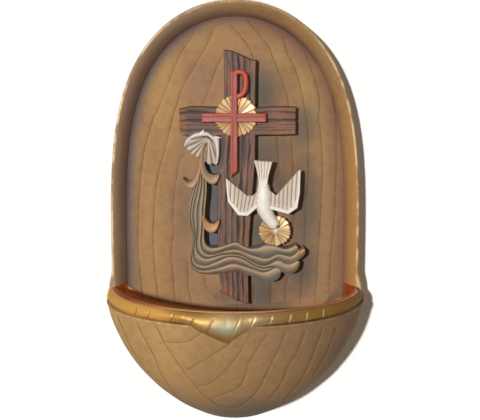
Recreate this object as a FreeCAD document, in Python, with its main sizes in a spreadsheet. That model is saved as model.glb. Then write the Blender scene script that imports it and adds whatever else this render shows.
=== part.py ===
import FreeCAD, Part
import math
import os

# Wall-hung holy water stoup: an arched niche board with a half bowl below it,
# a gilded rim bead, a copper liner and carved baptism symbols on the field.
#
# Frame: origin on the flat back, on the centre line, at the level of the rim.
# +X to the right seen from the front, +Y into the wall, +Z up. Millimetres.
# A "level" is a distance in front of the wall, so level 14 lies at y = -14.

os.makedirs("parts", exist_ok=True)
doc = FreeCAD.newDocument("HolyWaterStoup")
Vector = FreeCAD.Vector

# --------------------------------------------------------------- driving sizes

SIZES = [
    ("arch_height", 137.5, "rim level to the top of the arch"),
    ("board_half_width", 59.6, "half the width of the niche board above the rim"),
    ("board_thickness", 14.0, "wall to the gilded edge"),
    ("field_level", 5.5, "wall to the flat field of the niche"),
    ("edge_land", 1.5, "width of the gilded edge"),
    ("cove_width", 5.2, "width of the hollow between edge and field at the sides"),
    ("cove_top", 6.8, "width of the same hollow at the top of the arch"),
    ("shoulder", 3.0, "height over which the board widens to the bowl"),
    ("bowl_drop", 66.0, "rim level to the bottom of the bowl"),
    ("bowl_depth", 47.0, "board edge to the front of the bowl"),
    ("bowl_wall", 4.8, "wall of the bowl"),
    ("bead_height", 6.0, "height of the rim bead"),
    ("bead_inset", 1.5, "how far the foot of the bead stands back from the bowl"),
    ("bead_swell", 1.05, "how far its middle stands out in front of its foot"),
    ("leaf_half_width", 20.0, "half the width of the leaf that hangs from the bead"),
    ("leaf_drop", 14.5, "rim level to the tip of the leaf"),
    ("leaf_lean", 2.0, "how far the tip of the leaf stands left of the centre"),
    ("leaf_rise", 1.0, "how far the leaf stands out of the bowl"),
    ("liner_wall", 1.2, "wall of the copper liner"),
    ("bond_gap", 0.15, "glue gap round the liner"),
    ("lip_rise", 0.4, "how far the liner stands out above the bead"),
    ("liner_dip", 11.0, "how far the back edge of the liner dips below the rim"),
    ("liner_dip_half", 52.0, "half the width of that dip"),
    ("beam_thickness", 5.5, "thickness of the two beams of the cross"),
    ("upright_top", 113.7, "rim level to the highest corner of the upright"),
    ("upright_foot", 9.9, "rim level down to the lowest corner of the upright"),
    ("upright_bend", 52.0, "rim level to the widest place of the upright"),
    ("upright_top_width", 15.4, "width of the upright at its top"),
    ("upright_width", 18.3, "width of the upright at its widest place"),
    ("upright_foot_width", 14.4, "width of the upright at its foot"),
    ("upright_lean", 2.7, "how far the top of the upright leans to the right"),
    ("top_slant", 4.2, "slope of the sawn top of the upright"),
    ("foot_slant", 6.0, "slope of the split foot of the upright"),
    ("arm_level", 80.3, "rim level to the middle of the arm"),
    ("arm_height", 14.0, "height of the arm"),
    ("arm_left", 26.4, "centre line to the left end of the arm"),
    ("arm_right", 29.1, "centre line to the right end of the arm"),
    ("groove_width", 0.9, "width of the long grooves in the beams"),
    ("groove_depth", 0.9, "depth of the long grooves in the beams"),
    ("groove_pitch", 3.6, "spacing of the long grooves in the beams"),
    ("groove_margin", 2.5, "wood left at the ends of the long grooves"),
    ("host_thickness", 1.6, "thickness of the pleated discs"),
    ("pleat_depth", 0.6, "depth of their pleats"),
    ("upper_host_radius", 10.2, "radius of the disc on the cross"),
    ("upper_host_x", 0.5, "its place to the right of the centre line"),
    ("upper_host_z", 83.0, "its height above the rim"),
    ("lower_host_radius", 7.9, "radius of the disc under the dove"),
    ("lower_host_x", 19.2, "its place to the right of the centre line"),
    ("lower_host_z", 27.1, "its height above the rim"),
    ("lower_host_level", 9.4, "wall to the back of the lower disc"),
    ("rho_relief", 2.0, "how far the rho cross stands in front of the disc"),
    ("rho_stem_width", 3.2, "width of its stem"),
    ("rho_top", 104.9, "rim level to the top of its stem"),
    ("rho_foot", 55.2, "rim level to the tip of its stem"),
    ("rho_bar_half", 15.3, "half the length of its bar"),
    ("rho_bar_height", 4.2, "height of its bar"),
    ("rho_loop_width", 5.2, "how far the loop stands out to the right"),
    ("rho_loop_height", 13.0, "height of the loop"),
    ("rho_loop_band", 2.2, "width of the band of the loop"),
    ("shell_relief", 3.0, "how far the shell stands in front of the cross"),
    ("shell_reach", 13.5, "hinge of the shell to its longest rib"),
    ("shell_rib_tip", 1.9, "radius of a rib at the edge of the shell"),
    ("shell_hinge_radius", 0.7, "radius of a rib at the hinge"),
    ("relief_grid", 1.0, "grid on which the water, the shell and the dove are drawn"),
    ("water_relief", 7.6, "field to the crest of the water"),
    ("strand_step", 0.7, "how much lower each strand lies than the one over it"),
    ("wing_thickness", 2.4, "thickness of the wings and tail of the dove"),
    ("body_relief", 4.0, "how far the body of the dove stands out"),
    ("feather_depth", 0.6, "depth of the feather grooves"),
    ("feather_width", 0.7, "width of the feather grooves"),
    ("pin_radius", 1.2, "radius of the pins behind the relief"),
    ("pin_depth", 2.8, "depth of a pin in the board and in the piece it holds"),
    ("pin_inset", 7.0, "end of the arm to the pin behind it"),
    ("peg_radius", 1.6, "radius of the pegs under the dove and the lower disc"),
    ("dowel_radius", 1.1, "radius of the dowels between bowl and board"),
    ("dowel_depth", 6.0, "depth of a dowel in the board and in the bowl"),
    ("dowel_level_high", 14.0, "rim level down to the upper dowels"),
    ("screw_level_high", 34.0, "rim level down to the bowl screws"),
    ("screw_radius", 1.1, "radius of the bowl screws"),
    ("screw_head_radius", 2.1, "radius of their heads"),
    ("screw_head_height", 1.3, "height of their heads"),
    ("screw_depth", 6.5, "depth of a bowl screw in the bowl"),
    ("hanger_drop", 33.5, "top of the arch down to the centre of the keyhole"),
    ("hanger_width", 18.0, "width of the hanger plate"),
    ("hanger_height", 40.0, "height of the hanger plate"),
    ("hanger_sheet", 1.2, "thickness of the hanger plate"),
    ("keyhole_radius", 4.5, "radius of the hole that takes the screw head"),
    ("slot_width", 4.2, "width of the slot above that hole"),
    ("slot_rise", 10.0, "keyhole centre to the top end of the slot"),
    ("head_room", 2.8, "depth of the hollow behind the plate for the screw head"),
    ("head_clearance", 1.0, "how much wider that hollow is than the keyhole"),
    ("hanger_screw_radius", 1.0, "radius of the hanger screws"),
    ("hanger_screw_head", 1.9, "radius of their countersunk heads"),
    ("hanger_screw_depth", 3.0, "depth of a hanger screw in the board"),
    ("hanger_screw_offset", 15.5, "plate centre to each hanger screw"),
]

sheet = doc.addObject("Spreadsheet::Sheet", "Sizes")
for row, (alias, value, note) in enumerate(SIZES, start=1):
    sheet.set("A%d" % row, note)
    sheet.set("B%d" % row, str(value))
    sheet.setAlias("B%d" % row, alias)
doc.recompute()


def size(alias):
    return float(sheet.get(alias))


# ----------------------------------------------------------- sizes worked out

BOWL_SIDE = 0.43           # how long the side of the bowl stays upright, as a share of its drop
BOWL_FLOOR = 0.46          # how flat its bottom is, as a share of its half width
ARCH_SPRING = 0.3          # where the arch begins to bend, as a share of its height
ARCH_SIDE = 0.87           # how long its side stays upright above that
ARCH_TOP = 0.36            # how flat its top is, as a share of its half width
LEAF_NECK = 0.1            # how narrow the leaf runs towards its tip
COVE_STEPS = 4             # steps of the hollow between the gilded edge and the field

NICHE_HALF_WIDTH = size("board_half_width") - size("edge_land")
BOWL_HALF_WIDTH = NICHE_HALF_WIDTH + size("bowl_wall")
CROSS_LEVEL = size("field_level") + size("beam_thickness")
WATER_LEVEL = size("field_level") + size("water_relief")

CROSS_FACE = "Sizes.field_level + Sizes.beam_thickness"
HANGER_HEIGHT = "Sizes.arch_height - Sizes.hanger_drop"
BOWL_SQUASH = "Sizes.bowl_depth / (Sizes.board_half_width - Sizes.edge_land + Sizes.bowl_wall)"


# -------------------------------------------------------------------- helpers

def front(x, level, z):
    """A point on the plane that lies level in front of the wall."""
    return Vector(x, -level, z)


def smooth(points):
    """A curve pulled towards its inner points, in the plane of a sketch."""
    curve = Part.BezierCurve()
    curve.setPoles([Vector(x, z, 0) for x, z in points])
    return curve.toBSpline()


def straight(start, end):
    return Part.LineSegment(Vector(start[0], start[1], 0), Vector(end[0], end[1], 0))


def bowl_quarter(half_width, drop, side=1):
    """A quarter outline of the bowl, from the rim down to the middle of its bottom."""
    return smooth([(side * half_width, 0), (side * half_width, -BOWL_SIDE * drop),
                   (side * BOWL_FLOOR * half_width, -drop), (0, -drop)])


def arch_half(half_width, height, side=1, foot=0.0):
    """Half the outline of the arch: its upright side and the curve up to the middle."""
    spring = ARCH_SPRING * height
    rise = height - spring
    curve = smooth([(side * half_width, spring), (side * half_width, spring + ARCH_SIDE * rise),
                    (side * ARCH_TOP * half_width, height), (0, height)])
    return [straight((side * half_width, foot), (side * half_width, spring)), curve]


def crossing(curve, z):
    """The point where a quarter outline passes a height."""
    level_line = Part.makeLine(Vector(0, z, 0), Vector(2 * BOWL_HALF_WIDTH, z, 0))
    return curve.toShape().distToShape(level_line)[1][0][0]


def lower_part(curve, z):
    """The part of a quarter outline that lies below a height."""
    below = curve.copy()
    below.segment(curve.parameter(crossing(curve, z)), curve.LastParameter)
    return below


def ends(curve):
    """The two end points of a quarter outline."""
    first = curve.value(curve.FirstParameter)
    last = curve.value(curve.LastParameter)
    return (first.x, first.y), (last.x, last.y)


def upright_wire(curves, level):
    """Curves drawn in the plane of a sketch, as one outline that stands level in front of the wall."""
    wire = Part.Wire(Part.__sortEdges__([curve.toShape() for curve in curves]))
    wire.Placement = FreeCAD.Placement(front(0, level, 0), FreeCAD.Rotation(Vector(1, 0, 0), 90))
    return wire


def new_body(name):
    body = doc.addObject("PartDesign::Body", name)
    body.Label = name
    return body


def wall_sketch(body, name, level, x=None, z=None):
    """A sketch parallel to the wall, at a level given as an expression."""
    planes = [item for item in body.Origin.OriginFeatures if item.Role == "XZ_Plane"]
    sketch = body.newObject("Sketcher::SketchObject", name)
    sketch.AttachmentSupport = [(planes[0], "")]
    sketch.MapMode = "FlatFace"
    sketch.setExpression("AttachmentOffset.Base.z", level)
    if x is not None:
        sketch.setExpression("AttachmentOffset.Base.x", x)
    if z is not None:
        sketch.setExpression("AttachmentOffset.Base.y", z)
    return sketch


def draw_polygon(sketch, points):
    count = len(points)
    for index in range(count):
        start = Vector(points[index][0], points[index][1], 0)
        end = Vector(points[(index + 1) % count][0], points[(index + 1) % count][1], 0)
        sketch.addGeometry(Part.LineSegment(start, end), False)


def draw_slot(sketch, low, high, radius):
    """An upright slot with round ends, centred on the sketch's vertical axis."""
    right = Vector(radius, high, 0)
    left = Vector(-radius, high, 0)
    sketch.addGeometry(Part.Arc(right, Vector(0, high + radius, 0), left), False)
    sketch.addGeometry(Part.LineSegment(left, Vector(-radius, low, 0)), False)
    bottom = Part.Arc(Vector(-radius, low, 0), Vector(0, low - radius, 0), Vector(radius, low, 0))
    sketch.addGeometry(bottom, False)
    sketch.addGeometry(Part.LineSegment(Vector(radius, low, 0), right), False)


def pad(body, sketch, name, length):
    feature = body.newObject("PartDesign::Pad", name)
    feature.Profile = sketch
    feature.setExpression("Length", length)
    return feature


def pocket(body, sketch, name, length, forwards=False):
    """Cuts towards the wall, or forwards from a sketch on the back."""
    feature = body.newObject("PartDesign::Pocket", name)
    feature.Profile = sketch
    feature.Reversed = forwards
    feature.setExpression("Length", length)
    return feature


def round_bar(name, radius, length, x, z, level):
    """A cylinder that runs forwards from a level; all sizes are expressions."""
    bar = doc.addObject("Part::Cylinder", name)
    bar.Placement = FreeCAD.Placement(Vector(), FreeCAD.Rotation(Vector(1, 0, 0), 90))
    bar.setExpression("Radius", radius)
    bar.setExpression("Height", length)
    bar.setExpression("Placement.Base.x", x)
    bar.setExpression("Placement.Base.y", "-(%s)" % level)
    bar.setExpression("Placement.Base.z", z)
    return bar


def joined(name, kind, parts):
    """Several objects as one: Part::MultiFuse melts them, Part::Compound keeps them apart."""
    result = doc.addObject(kind, name)
    if kind == "Part::Compound":
        result.Links = parts
    else:
        result.Shapes = parts
    return result


def cut(name, base, tool):
    result = doc.addObject("Part::Cut", name)
    result.Base = base
    result.Tool = tool
    result.Label = name
    return result


def computed(name, shape):
    feature = doc.addObject("Part::Feature", name)
    feature.Shape = shape
    return feature


# ------------------------------------------------------------ board and bowl

def niche_hollow(inset, floor_inset):
    """The hollow of the niche, drawn in by inset; its floor stands floor_inset off the field."""
    outlines = []
    deep = size("board_thickness") - size("field_level")
    for step in range(COVE_STEPS + 1):
        angle = math.pi / 2 * step / COVE_STEPS
        side_in = inset + size("cove_width") * (1 - math.cos(angle))
        top_in = inset + size("cove_top") * (1 - math.cos(angle))
        level = size("board_thickness") - (deep - floor_inset) * math.sin(angle)
        half_width = NICHE_HALF_WIDTH - side_in
        height = size("arch_height") - size("edge_land") - top_in
        drop = size("bowl_drop") - size("bowl_wall") - side_in
        curves = []
        for side in (1, -1):
            curves.extend(arch_half(half_width, height, side))
            curves.append(bowl_quarter(half_width, drop, side))
        outlines.append(upright_wire(curves, level))
    return Part.makeLoft(outlines, True, True)


def board_body():
    """The niche board before its hollow is cut: arch, shoulders and the back of the bowl."""
    body = new_body("board_blank")
    sketch = wall_sketch(body, "board_outline", "0")
    for side in (1, -1):
        shoulder = (side * size("board_half_width"), size("shoulder"))
        rim = (side * BOWL_HALF_WIDTH, 0)
        curves = arch_half(size("board_half_width"), size("arch_height"), side, size("shoulder"))
        curves.append(straight(shoulder, rim))
        curves.append(bowl_quarter(BOWL_HALF_WIDTH, size("bowl_drop"), side))
        sketch.addGeometry(curves, False)
    pad(body, sketch, "board_pad", "Sizes.board_thickness")
    return body


def half_ring(name, curves):
    """A profile turned half round the upright axis and drawn in to the bowl's depth."""
    body = new_body(name)
    sketch = wall_sketch(body, name + "_profile", "0")
    sketch.addGeometry(curves, False)
    turned = body.newObject("PartDesign::Revolution", name + "_turned")
    turned.Profile = sketch
    turned.ReferenceAxis = (sketch, ["V_Axis"])
    turned.Angle = 180
    turned.Reversed = True
    doc.recompute()
    drawn_in = doc.addObject("Part::Scale", name + "_drawn_in")
    drawn_in.Base = body
    drawn_in.Uniform = False
    drawn_in.setExpression("YScale", BOWL_SQUASH)
    doc.recompute()
    moved = doc.addObject("Part::Compound", name + "_seated")
    moved.Links = [drawn_in]
    moved.setExpression("Placement.Base.y", "-Sizes.board_thickness")
    return moved


def bowl_blank():
    """The bowl from the foot of the bead down: an outer and an inner quarter outline."""
    top = -size("bead_height")
    outer = lower_part(bowl_quarter(BOWL_HALF_WIDTH, size("bowl_drop")), top)
    inner = lower_part(bowl_quarter(NICHE_HALF_WIDTH, size("bowl_drop") - size("bowl_wall")), top)
    outer_top, outer_foot = ends(outer)
    inner_top, inner_foot = ends(inner)
    return half_ring("bowl_ring", [outer, inner, straight(outer_top, inner_top),
                                   straight(outer_foot, inner_foot)])


def bead_blank():
    """The round bead on the rim of the bowl."""
    inner = NICHE_HALF_WIDTH
    foot = BOWL_HALF_WIDTH - size("bead_inset")
    low = -size("bead_height")
    crest = Vector(foot + size("bead_swell"), low / 2, 0)
    face = Part.Arc(Vector(inner, 0, 0), crest, Vector(foot, low, 0))
    return half_ring("bead_ring", [face, straight((foot, low), (inner, low)),
                                   straight((inner, low), (inner, 0))])


def bowl_surface(extra):
    """The solid inside the bowl's outer face, grown by extra."""
    half_width = BOWL_HALF_WIDTH + extra
    drop = size("bowl_drop") + extra
    profile = upright_wire([bowl_quarter(half_width, drop), straight((half_width, 0), (0, 0)),
                            straight((0, 0), (0, -drop))], 0)
    solid = Part.Face(profile).revolve(Vector(), Vector(0, 0, 1), -180)
    squash = FreeCAD.Matrix()
    squash.scale(1, (size("bowl_depth") + extra) / half_width, 1)
    solid = solid.transformGeometry(squash)
    solid.translate(front(0, size("board_thickness"), 0))
    return solid


def space_below(z):
    """All the space under a height, as wide as the whole part."""
    wide = 2 * BOWL_HALF_WIDTH
    return Part.makeBox(2 * wide, wide, wide, Vector(-wide, -wide, z - wide))


def leaf_shape():
    """The pointed leaf that hangs from the bead and lies on the front of the bowl."""
    half_width = size("leaf_half_width")
    low = -size("bead_height")
    high = low / 2
    tip = (-size("leaf_lean"), -size("leaf_drop"))
    curves = [straight((-half_width, high), (half_width, high))]
    for side in (-1, 1):
        curves.append(straight((side * half_width, high), (side * half_width, low)))
        curves.append(smooth([(side * half_width, low), (side * LEAF_NECK * half_width, low), tip]))
    outline = Part.Face(upright_wire(curves, 0))
    reach = size("board_thickness") + size("bowl_depth") + 2 * size("leaf_rise")
    curtain = outline.extrude(front(0, reach, 0))
    inside = [bowl_surface(-size("bead_inset") - size("leaf_rise")),
              bowl_surface(0.0).common(space_below(low))]
    return curtain.common(bowl_surface(size("leaf_rise"))).cut(inside)


def liner_front():
    """The part of the liner inside the bowl, with a lip that stands a little above the bead."""
    gap = size("bond_gap")
    wall = size("liner_wall")
    rise = size("lip_rise")
    drop = size("bowl_drop") - size("bowl_wall") - gap
    outer = bowl_quarter(NICHE_HALF_WIDTH - gap, drop)
    inner = bowl_quarter(NICHE_HALF_WIDTH - gap - wall, drop - wall)
    outer_rim, outer_foot = ends(outer)
    inner_rim, inner_foot = ends(inner)
    outer_lip = (outer_rim[0], rise)
    inner_lip = (inner_rim[0], rise)
    return half_ring("liner_ring", [outer, inner, straight(outer_rim, outer_lip),
                                    straight(outer_lip, inner_lip), straight(inner_lip, inner_rim),
                                    straight(outer_foot, inner_foot)])


def liner_back():
    """The part of the liner inside the board: it follows the hollow and dips at the back."""
    gap = size("bond_gap")
    inset = gap + size("liner_wall")
    shell = niche_hollow(gap, gap).common(space_below(0)).cut(niche_hollow(inset, inset))
    dip = Part.Ellipse(Vector(), size("liner_dip_half"), size("liner_dip")).toShape()
    dip = Part.Face(Part.Wire(dip)).extrude(Vector(0, 0, size("board_thickness")))
    dip.rotate(Vector(), Vector(1, 0, 0), 90)
    return shell.cut(dip)


# ---------------------------------------------------------------- the cross

# Where the long grooves run, in pitches from the middle of each beam.
UPRIGHT_GROOVES = (-1.5, -0.5, 0.5, 1.5)
ARM_GROOVES = (-1, 0, 1)


def upright_outline():
    half_top = size("upright_top_width") / 2
    half_bend = size("upright_width") / 2
    half_foot = size("upright_foot_width") / 2
    lean = size("upright_lean")
    top = size("upright_top")
    bend = size("upright_bend")
    foot = -size("upright_foot")
    return [(lean - half_top, top), (lean + half_top, top - size("top_slant")),
            (lean / 4 + half_bend, bend), (half_foot, foot),
            (-half_foot, foot + size("foot_slant")), (lean / 4 - half_bend, bend)]


def arm_outline():
    low = size("arm_level") - size("arm_height") / 2
    high = size("arm_level") + size("arm_height") / 2
    return [(-size("arm_left"), low + size("groove_depth")), (size("arm_right"), low),
            (size("arm_right"), high), (-size("arm_left"), high)]


def beam(name, outline, grooves, lap_outline, lap_level, lap_forwards):
    """A beam of the cross, half cut away where the other beam crosses it."""
    body = new_body(name)
    sketch = wall_sketch(body, name + "_outline", "Sizes.field_level")
    draw_polygon(sketch, outline)
    pad(body, sketch, name + "_pad", "Sizes.beam_thickness")
    doc.recompute()
    grooving = wall_sketch(body, name + "_grooves", CROSS_FACE)
    for corners in grooves:
        draw_polygon(grooving, corners)
    pocket(body, grooving, name + "_grooved", "Sizes.groove_depth")
    lap = wall_sketch(body, name + "_lap", lap_level)
    draw_polygon(lap, lap_outline)
    pocket(body, lap, name + "_lapped", "Sizes.beam_thickness / 2", lap_forwards)
    return body


def upright():
    margin = size("groove_margin")
    half = size("groove_width") / 2
    lean = size("upright_lean")
    high = size("upright_top") - size("top_slant") - margin
    low = size("foot_slant") - size("upright_foot") + margin
    grooves = []
    for place in UPRIGHT_GROOVES:
        across = place * size("groove_pitch")
        grooves.append([(across + lean - half, high), (across + lean + half, high),
                        (across + half, low), (across - half, low)])
    low_arm = size("arm_level") - size("arm_height") / 2
    high_arm = size("arm_level") + size("arm_height") / 2
    wide = size("upright_width")
    lap = [(-wide, low_arm), (wide, low_arm), (wide, high_arm), (-wide, high_arm)]
    return beam("cross_upright", upright_outline(), grooves, lap, "Sizes.field_level", True)


def arm():
    left = -size("arm_left") + size("groove_margin")
    right = size("arm_right") - size("groove_margin")
    half = size("groove_width") / 2
    grooves = []
    for place in ARM_GROOVES:
        low = size("arm_level") + place * size("groove_pitch") - half
        high = low + size("groove_width")
        grooves.append([(left, low), (right, low), (right, high), (left, high)])
    return beam("cross_arm", arm_outline(), grooves, upright_outline(), CROSS_FACE, False)


# ------------------------------------------------------- discs and rho cross

UPPER_PLEATS = 26
LOWER_PLEATS = 24
PLEAT_START = 0.22         # plain middle of a disc, as a share of its radius
PLEAT_END = 1.1            # where a fold runs out past the rim
RHO_LEAN = 0.4             # how far the stem of the rho cross stands left of the centre
LOOP_HIGH = 0.45           # where its loop turns down, as a share of its reach
LOOP_LOW = 0.4             # where it turns back in
LOOP_SHOULDER = 0.1        # how far it has dropped there, as shares of half its height
LOOP_WAIST = 0.87


def pleated_disc(name, x, z, radius, level, pleats):
    """A thin round disc whose face is folded into pleats."""
    body = new_body(name)
    sketch = wall_sketch(body, name + "_rim", level, x, z)
    sketch.addGeometry(Part.Circle(Vector(), Vector(0, 0, 1), size(radius)), False)
    pad(body, sketch, name + "_disc", "Sizes.host_thickness")
    doc.recompute()
    fold = wall_sketch(body, name + "_fold", level + " + Sizes.host_thickness", x, z)
    half_angle = math.pi / (2 * pleats)
    inner = PLEAT_START * size(radius)
    outer = PLEAT_END * size(radius)
    across = outer * math.tan(half_angle)
    draw_polygon(fold, [(inner, 0.0), (outer, -across), (outer, across)])
    pocket(body, fold, name + "_pleat", "Sizes.pleat_depth")
    doc.recompute()
    pattern = body.newObject("PartDesign::PolarPattern", name + "_pleats")
    pattern.Originals = [body.Tip]
    pattern.Axis = (fold, ["N_Axis"])
    pattern.Angle = 360
    pattern.Occurrences = pleats
    body.Tip = pattern
    doc.recompute()
    return body


def rho_cross(name):
    """A cross whose stem ends in a loop at the top right; its back is let in over the disc."""
    body = new_body(name + "_blank")
    half = size("rho_stem_width") / 2
    left = -half - RHO_LEAN
    right = half - RHO_LEAN
    top = size("rho_top")
    foot = size("rho_foot")
    level = CROSS_FACE
    length = "Sizes.host_thickness + Sizes.rho_relief"
    stem = wall_sketch(body, name + "_stem", level)
    draw_polygon(stem, [(left, top), (right, top), (right, foot + half), (left, foot)])
    pad(body, stem, name + "_stem_pad", length)
    bar = wall_sketch(body, name + "_bar", level)
    low = size("upper_host_z") - size("rho_bar_height") / 2
    high = size("upper_host_z") + size("rho_bar_height") / 2
    middle = (left + right) / 2
    draw_polygon(bar, [(middle - size("rho_bar_half"), low), (middle + size("rho_bar_half"), low),
                       (middle + size("rho_bar_half"), high), (middle - size("rho_bar_half"), high)])
    pad(body, bar, name + "_bar_pad", length)
    loop = wall_sketch(body, name + "_loop", level)
    outer_high = size("rho_loop_height") / 2
    centre = top - outer_high
    start = right - half
    reach = size("rho_loop_width") + half
    band = size("rho_loop_band")
    outer = Part.BSplineCurve()
    outer.interpolate([Vector(start, top, 0),
                       Vector(right + LOOP_HIGH * reach, top - LOOP_SHOULDER * outer_high, 0),
                       Vector(start + reach, centre, 0),
                       Vector(right + LOOP_LOW * reach, centre - LOOP_WAIST * outer_high, 0),
                       Vector(start, centre - outer_high, 0)])
    loop.addGeometry(outer, False)
    loop.addGeometry(Part.LineSegment(Vector(start, centre - outer_high, 0), Vector(start, top, 0)), False)
    pad(body, loop, name + "_loop_pad", length)
    doc.recompute()
    hole = wall_sketch(body, name + "_eye", level + " + " + length)
    eye = Part.BSplineCurve()
    eye_low = Vector(right, centre - outer_high + band, 0)
    eye_high = Vector(right, top - band, 0)
    eye.interpolate([eye_high, Vector(start + reach - band, centre, 0), eye_low])
    hole.addGeometry(eye, False)
    hole.addGeometry(Part.LineSegment(eye_low, eye_high), False)
    pocket(body, hole, name + "_eye_cut", length)
    seat = round_bar(name + "_seat", "Sizes.upper_host_radius", "Sizes.host_thickness",
                     "Sizes.upper_host_x", "Sizes.upper_host_z", level)
    return cut(name, body, seat)


# ------------------------------------------------------------- shell and water

SHELL_HINGE = (-14.0, 75.2)
SHELL_EAR = (-6.8, 72.5)   # right end of its rolled upper edge
SHELL_FIRST_ANGLE = 212.0
SHELL_LAST_ANGLE = 291.0
SHELL_RIBS = 7
SHELL_SHORTEST = 0.8       # the first rib as a share of the last one


def on_grid(points):
    """Places drawn on the squared grid of the relief, in millimetres."""
    return [tuple(value * size("relief_grid") for value in point) for point in points]


def prism(points, low_level, high_level):
    """A flat outline, cut straight from one level to another."""
    corners = [front(x, low_level, z) for x, z in points]
    face = Part.Face(Part.makePolygon(corners + corners[:1]))
    return face.extrude(Vector(0, low_level - high_level, 0))


def shell_tips():
    """Where the ribs of the fan end, from left to right."""
    (hinge_x, hinge_z), = on_grid([SHELL_HINGE])
    tips = []
    for rib in range(SHELL_RIBS):
        share = rib / (SHELL_RIBS - 1)
        angle = math.radians(SHELL_FIRST_ANGLE + share * (SHELL_LAST_ANGLE - SHELL_FIRST_ANGLE))
        reach = size("shell_reach") * (SHELL_SHORTEST + (1 - SHELL_SHORTEST) * share)
        tips.append((hinge_x + reach * math.cos(angle), hinge_z + reach * math.sin(angle)))
    return tips


def shell_rib(hinge, tip, radius):
    """A rib that widens from the hinge to a rounded tip."""
    start = front(hinge[0], CROSS_LEVEL, hinge[1])
    end = front(tip[0], CROSS_LEVEL, tip[1])
    along = end - start
    rib = Part.makeCone(size("shell_hinge_radius"), radius, along.Length, start, along)
    cap = Part.makeCone(radius, radius / 2, radius / 2, end, along)
    return rib.fuse(cap)


def shell_shape():
    """The scallop shell: tapered ribs that fan out from the hinge over a solid back."""
    hinge, ear = on_grid([SHELL_HINGE, SHELL_EAR])
    tips = shell_tips()
    parts = [shell_rib(hinge, tip, size("shell_rib_tip")) for tip in tips]
    parts.append(shell_rib(hinge, ear, 2 * size("shell_hinge_radius")))
    solid = prism([hinge] + tips + [ear], size("field_level"), CROSS_LEVEL).fuse(parts)
    reach = 3 * size("shell_reach")
    keep = Part.makeBox(2 * reach, size("shell_relief") + size("beam_thickness"), 2 * reach,
                        front(hinge[0] - reach, CROSS_LEVEL + size("shell_relief"), hinge[1] - reach))
    behind = [prism(upright_outline(), size("field_level"), CROSS_LEVEL),
              prism(arm_outline(), size("field_level"), CROSS_LEVEL)]
    return solid.common(keep).cut(behind)


# Each strand of the water: its route over the field, and its width at the
# start, in the middle and at the end.
WATER_STRANDS = [
    ([(-15.5, 66), (-17, 60), (-17.6, 54), (-20, 46), (-21.2, 38), (-20.6, 29), (-18.6, 21), (-19.2, 14),
      (-17, 9.2), (-10, 7.8), (-2, 8.6), (4, 7.6), (10, 4.4), (16, 3.4), (20.4, 5.2), (20.4, 8.8)],
     3.4, 5.0, 2.6),
    ([(-14.5, 66), (-15.2, 58), (-15.4, 49), (-17.4, 41), (-18, 33), (-16.2, 24), (-17.2, 18), (-14.5, 12.2),
      (-6, 11.6), (2, 12.6), (9, 9.6), (17, 7.8), (25, 8.2), (29, 10.2), (30.4, 13.2)], 3.4, 5.2, 2.6),
    ([(-14.2, 64), (-14.6, 52), (-15.8, 44), (-16, 36), (-15.2, 28), (-14, 21), (-9, 16.2), (0, 16.6),
      (7, 13.6), (14, 12.4), (21, 13.6), (28, 12.6), (32.8, 17.2)], 3.2, 5.0, 2.2),
    ([(-15.6, 27), (-12, 20), (-6, 18), (0.4, 20), (7, 16.6), (14, 17.8), (21, 16.8), (26.5, 16.6),
      (29.2, 19.6)], 3.0, 4.4, 2.0),
    ([(-17.4, 57), (-19.8, 50), (-21.4, 42), (-21.4, 34), (-20.2, 27), (-19, 20)], 2.6, 3.6, 3.0),
    ([(-14.4, 60), (-13.4, 55), (-10.4, 52.2), (-8.0, 53.4)], 2.8, 2.8, 1.6),
    ([(-14.8, 34), (-12.8, 30.2), (-9.6, 29.3), (-7.9, 31.9)], 2.6, 3.0, 1.6),
    ([(-16.6, 60), (-18.2, 54), (-21.4, 50.4), (-24.8, 51.6)], 2.8, 3.0, 1.6),
]
STRAND_STEPS = 18          # corners along each side of a strand


def strand(route, widths, level):
    """One strand of water: a band of changing width that follows its route over the field."""
    first_width, middle_width, last_width = [width * size("relief_grid") for width in widths]
    path = Part.BSplineCurve()
    path.interpolate([Vector(x, 0, z) for x, z in on_grid(route)])
    left = []
    right = []
    for step in range(STRAND_STEPS + 1):
        share = step / STRAND_STEPS
        place = path.FirstParameter + share * (path.LastParameter - path.FirstParameter)
        centre = path.value(place)
        along = path.tangent(place)[0]
        if share < 0.5:
            width = first_width + (middle_width - first_width) * 2 * share
        else:
            width = middle_width + (last_width - middle_width) * (2 * share - 1)
        left.append((centre.x - along.z * width / 2, centre.z + along.x * width / 2))
        right.append((centre.x + along.z * width / 2, centre.z - along.x * width / 2))
    return prism(left + right[::-1], size("field_level"), level)


def water_shape(shell):
    """All the strands as one stepped carving, let in over the upright and under the shell."""
    strands = []
    for place, (route, *widths) in enumerate(WATER_STRANDS):
        level = WATER_LEVEL - size("strand_step") * (place % 3)
        strands.append(strand(route, widths, level))
    solid = strands[0].fuse(strands[1:])
    return solid.cut([prism(upright_outline(), size("field_level"), CROSS_LEVEL), shell])


# -------------------------------------------------------------------- the dove

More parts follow.
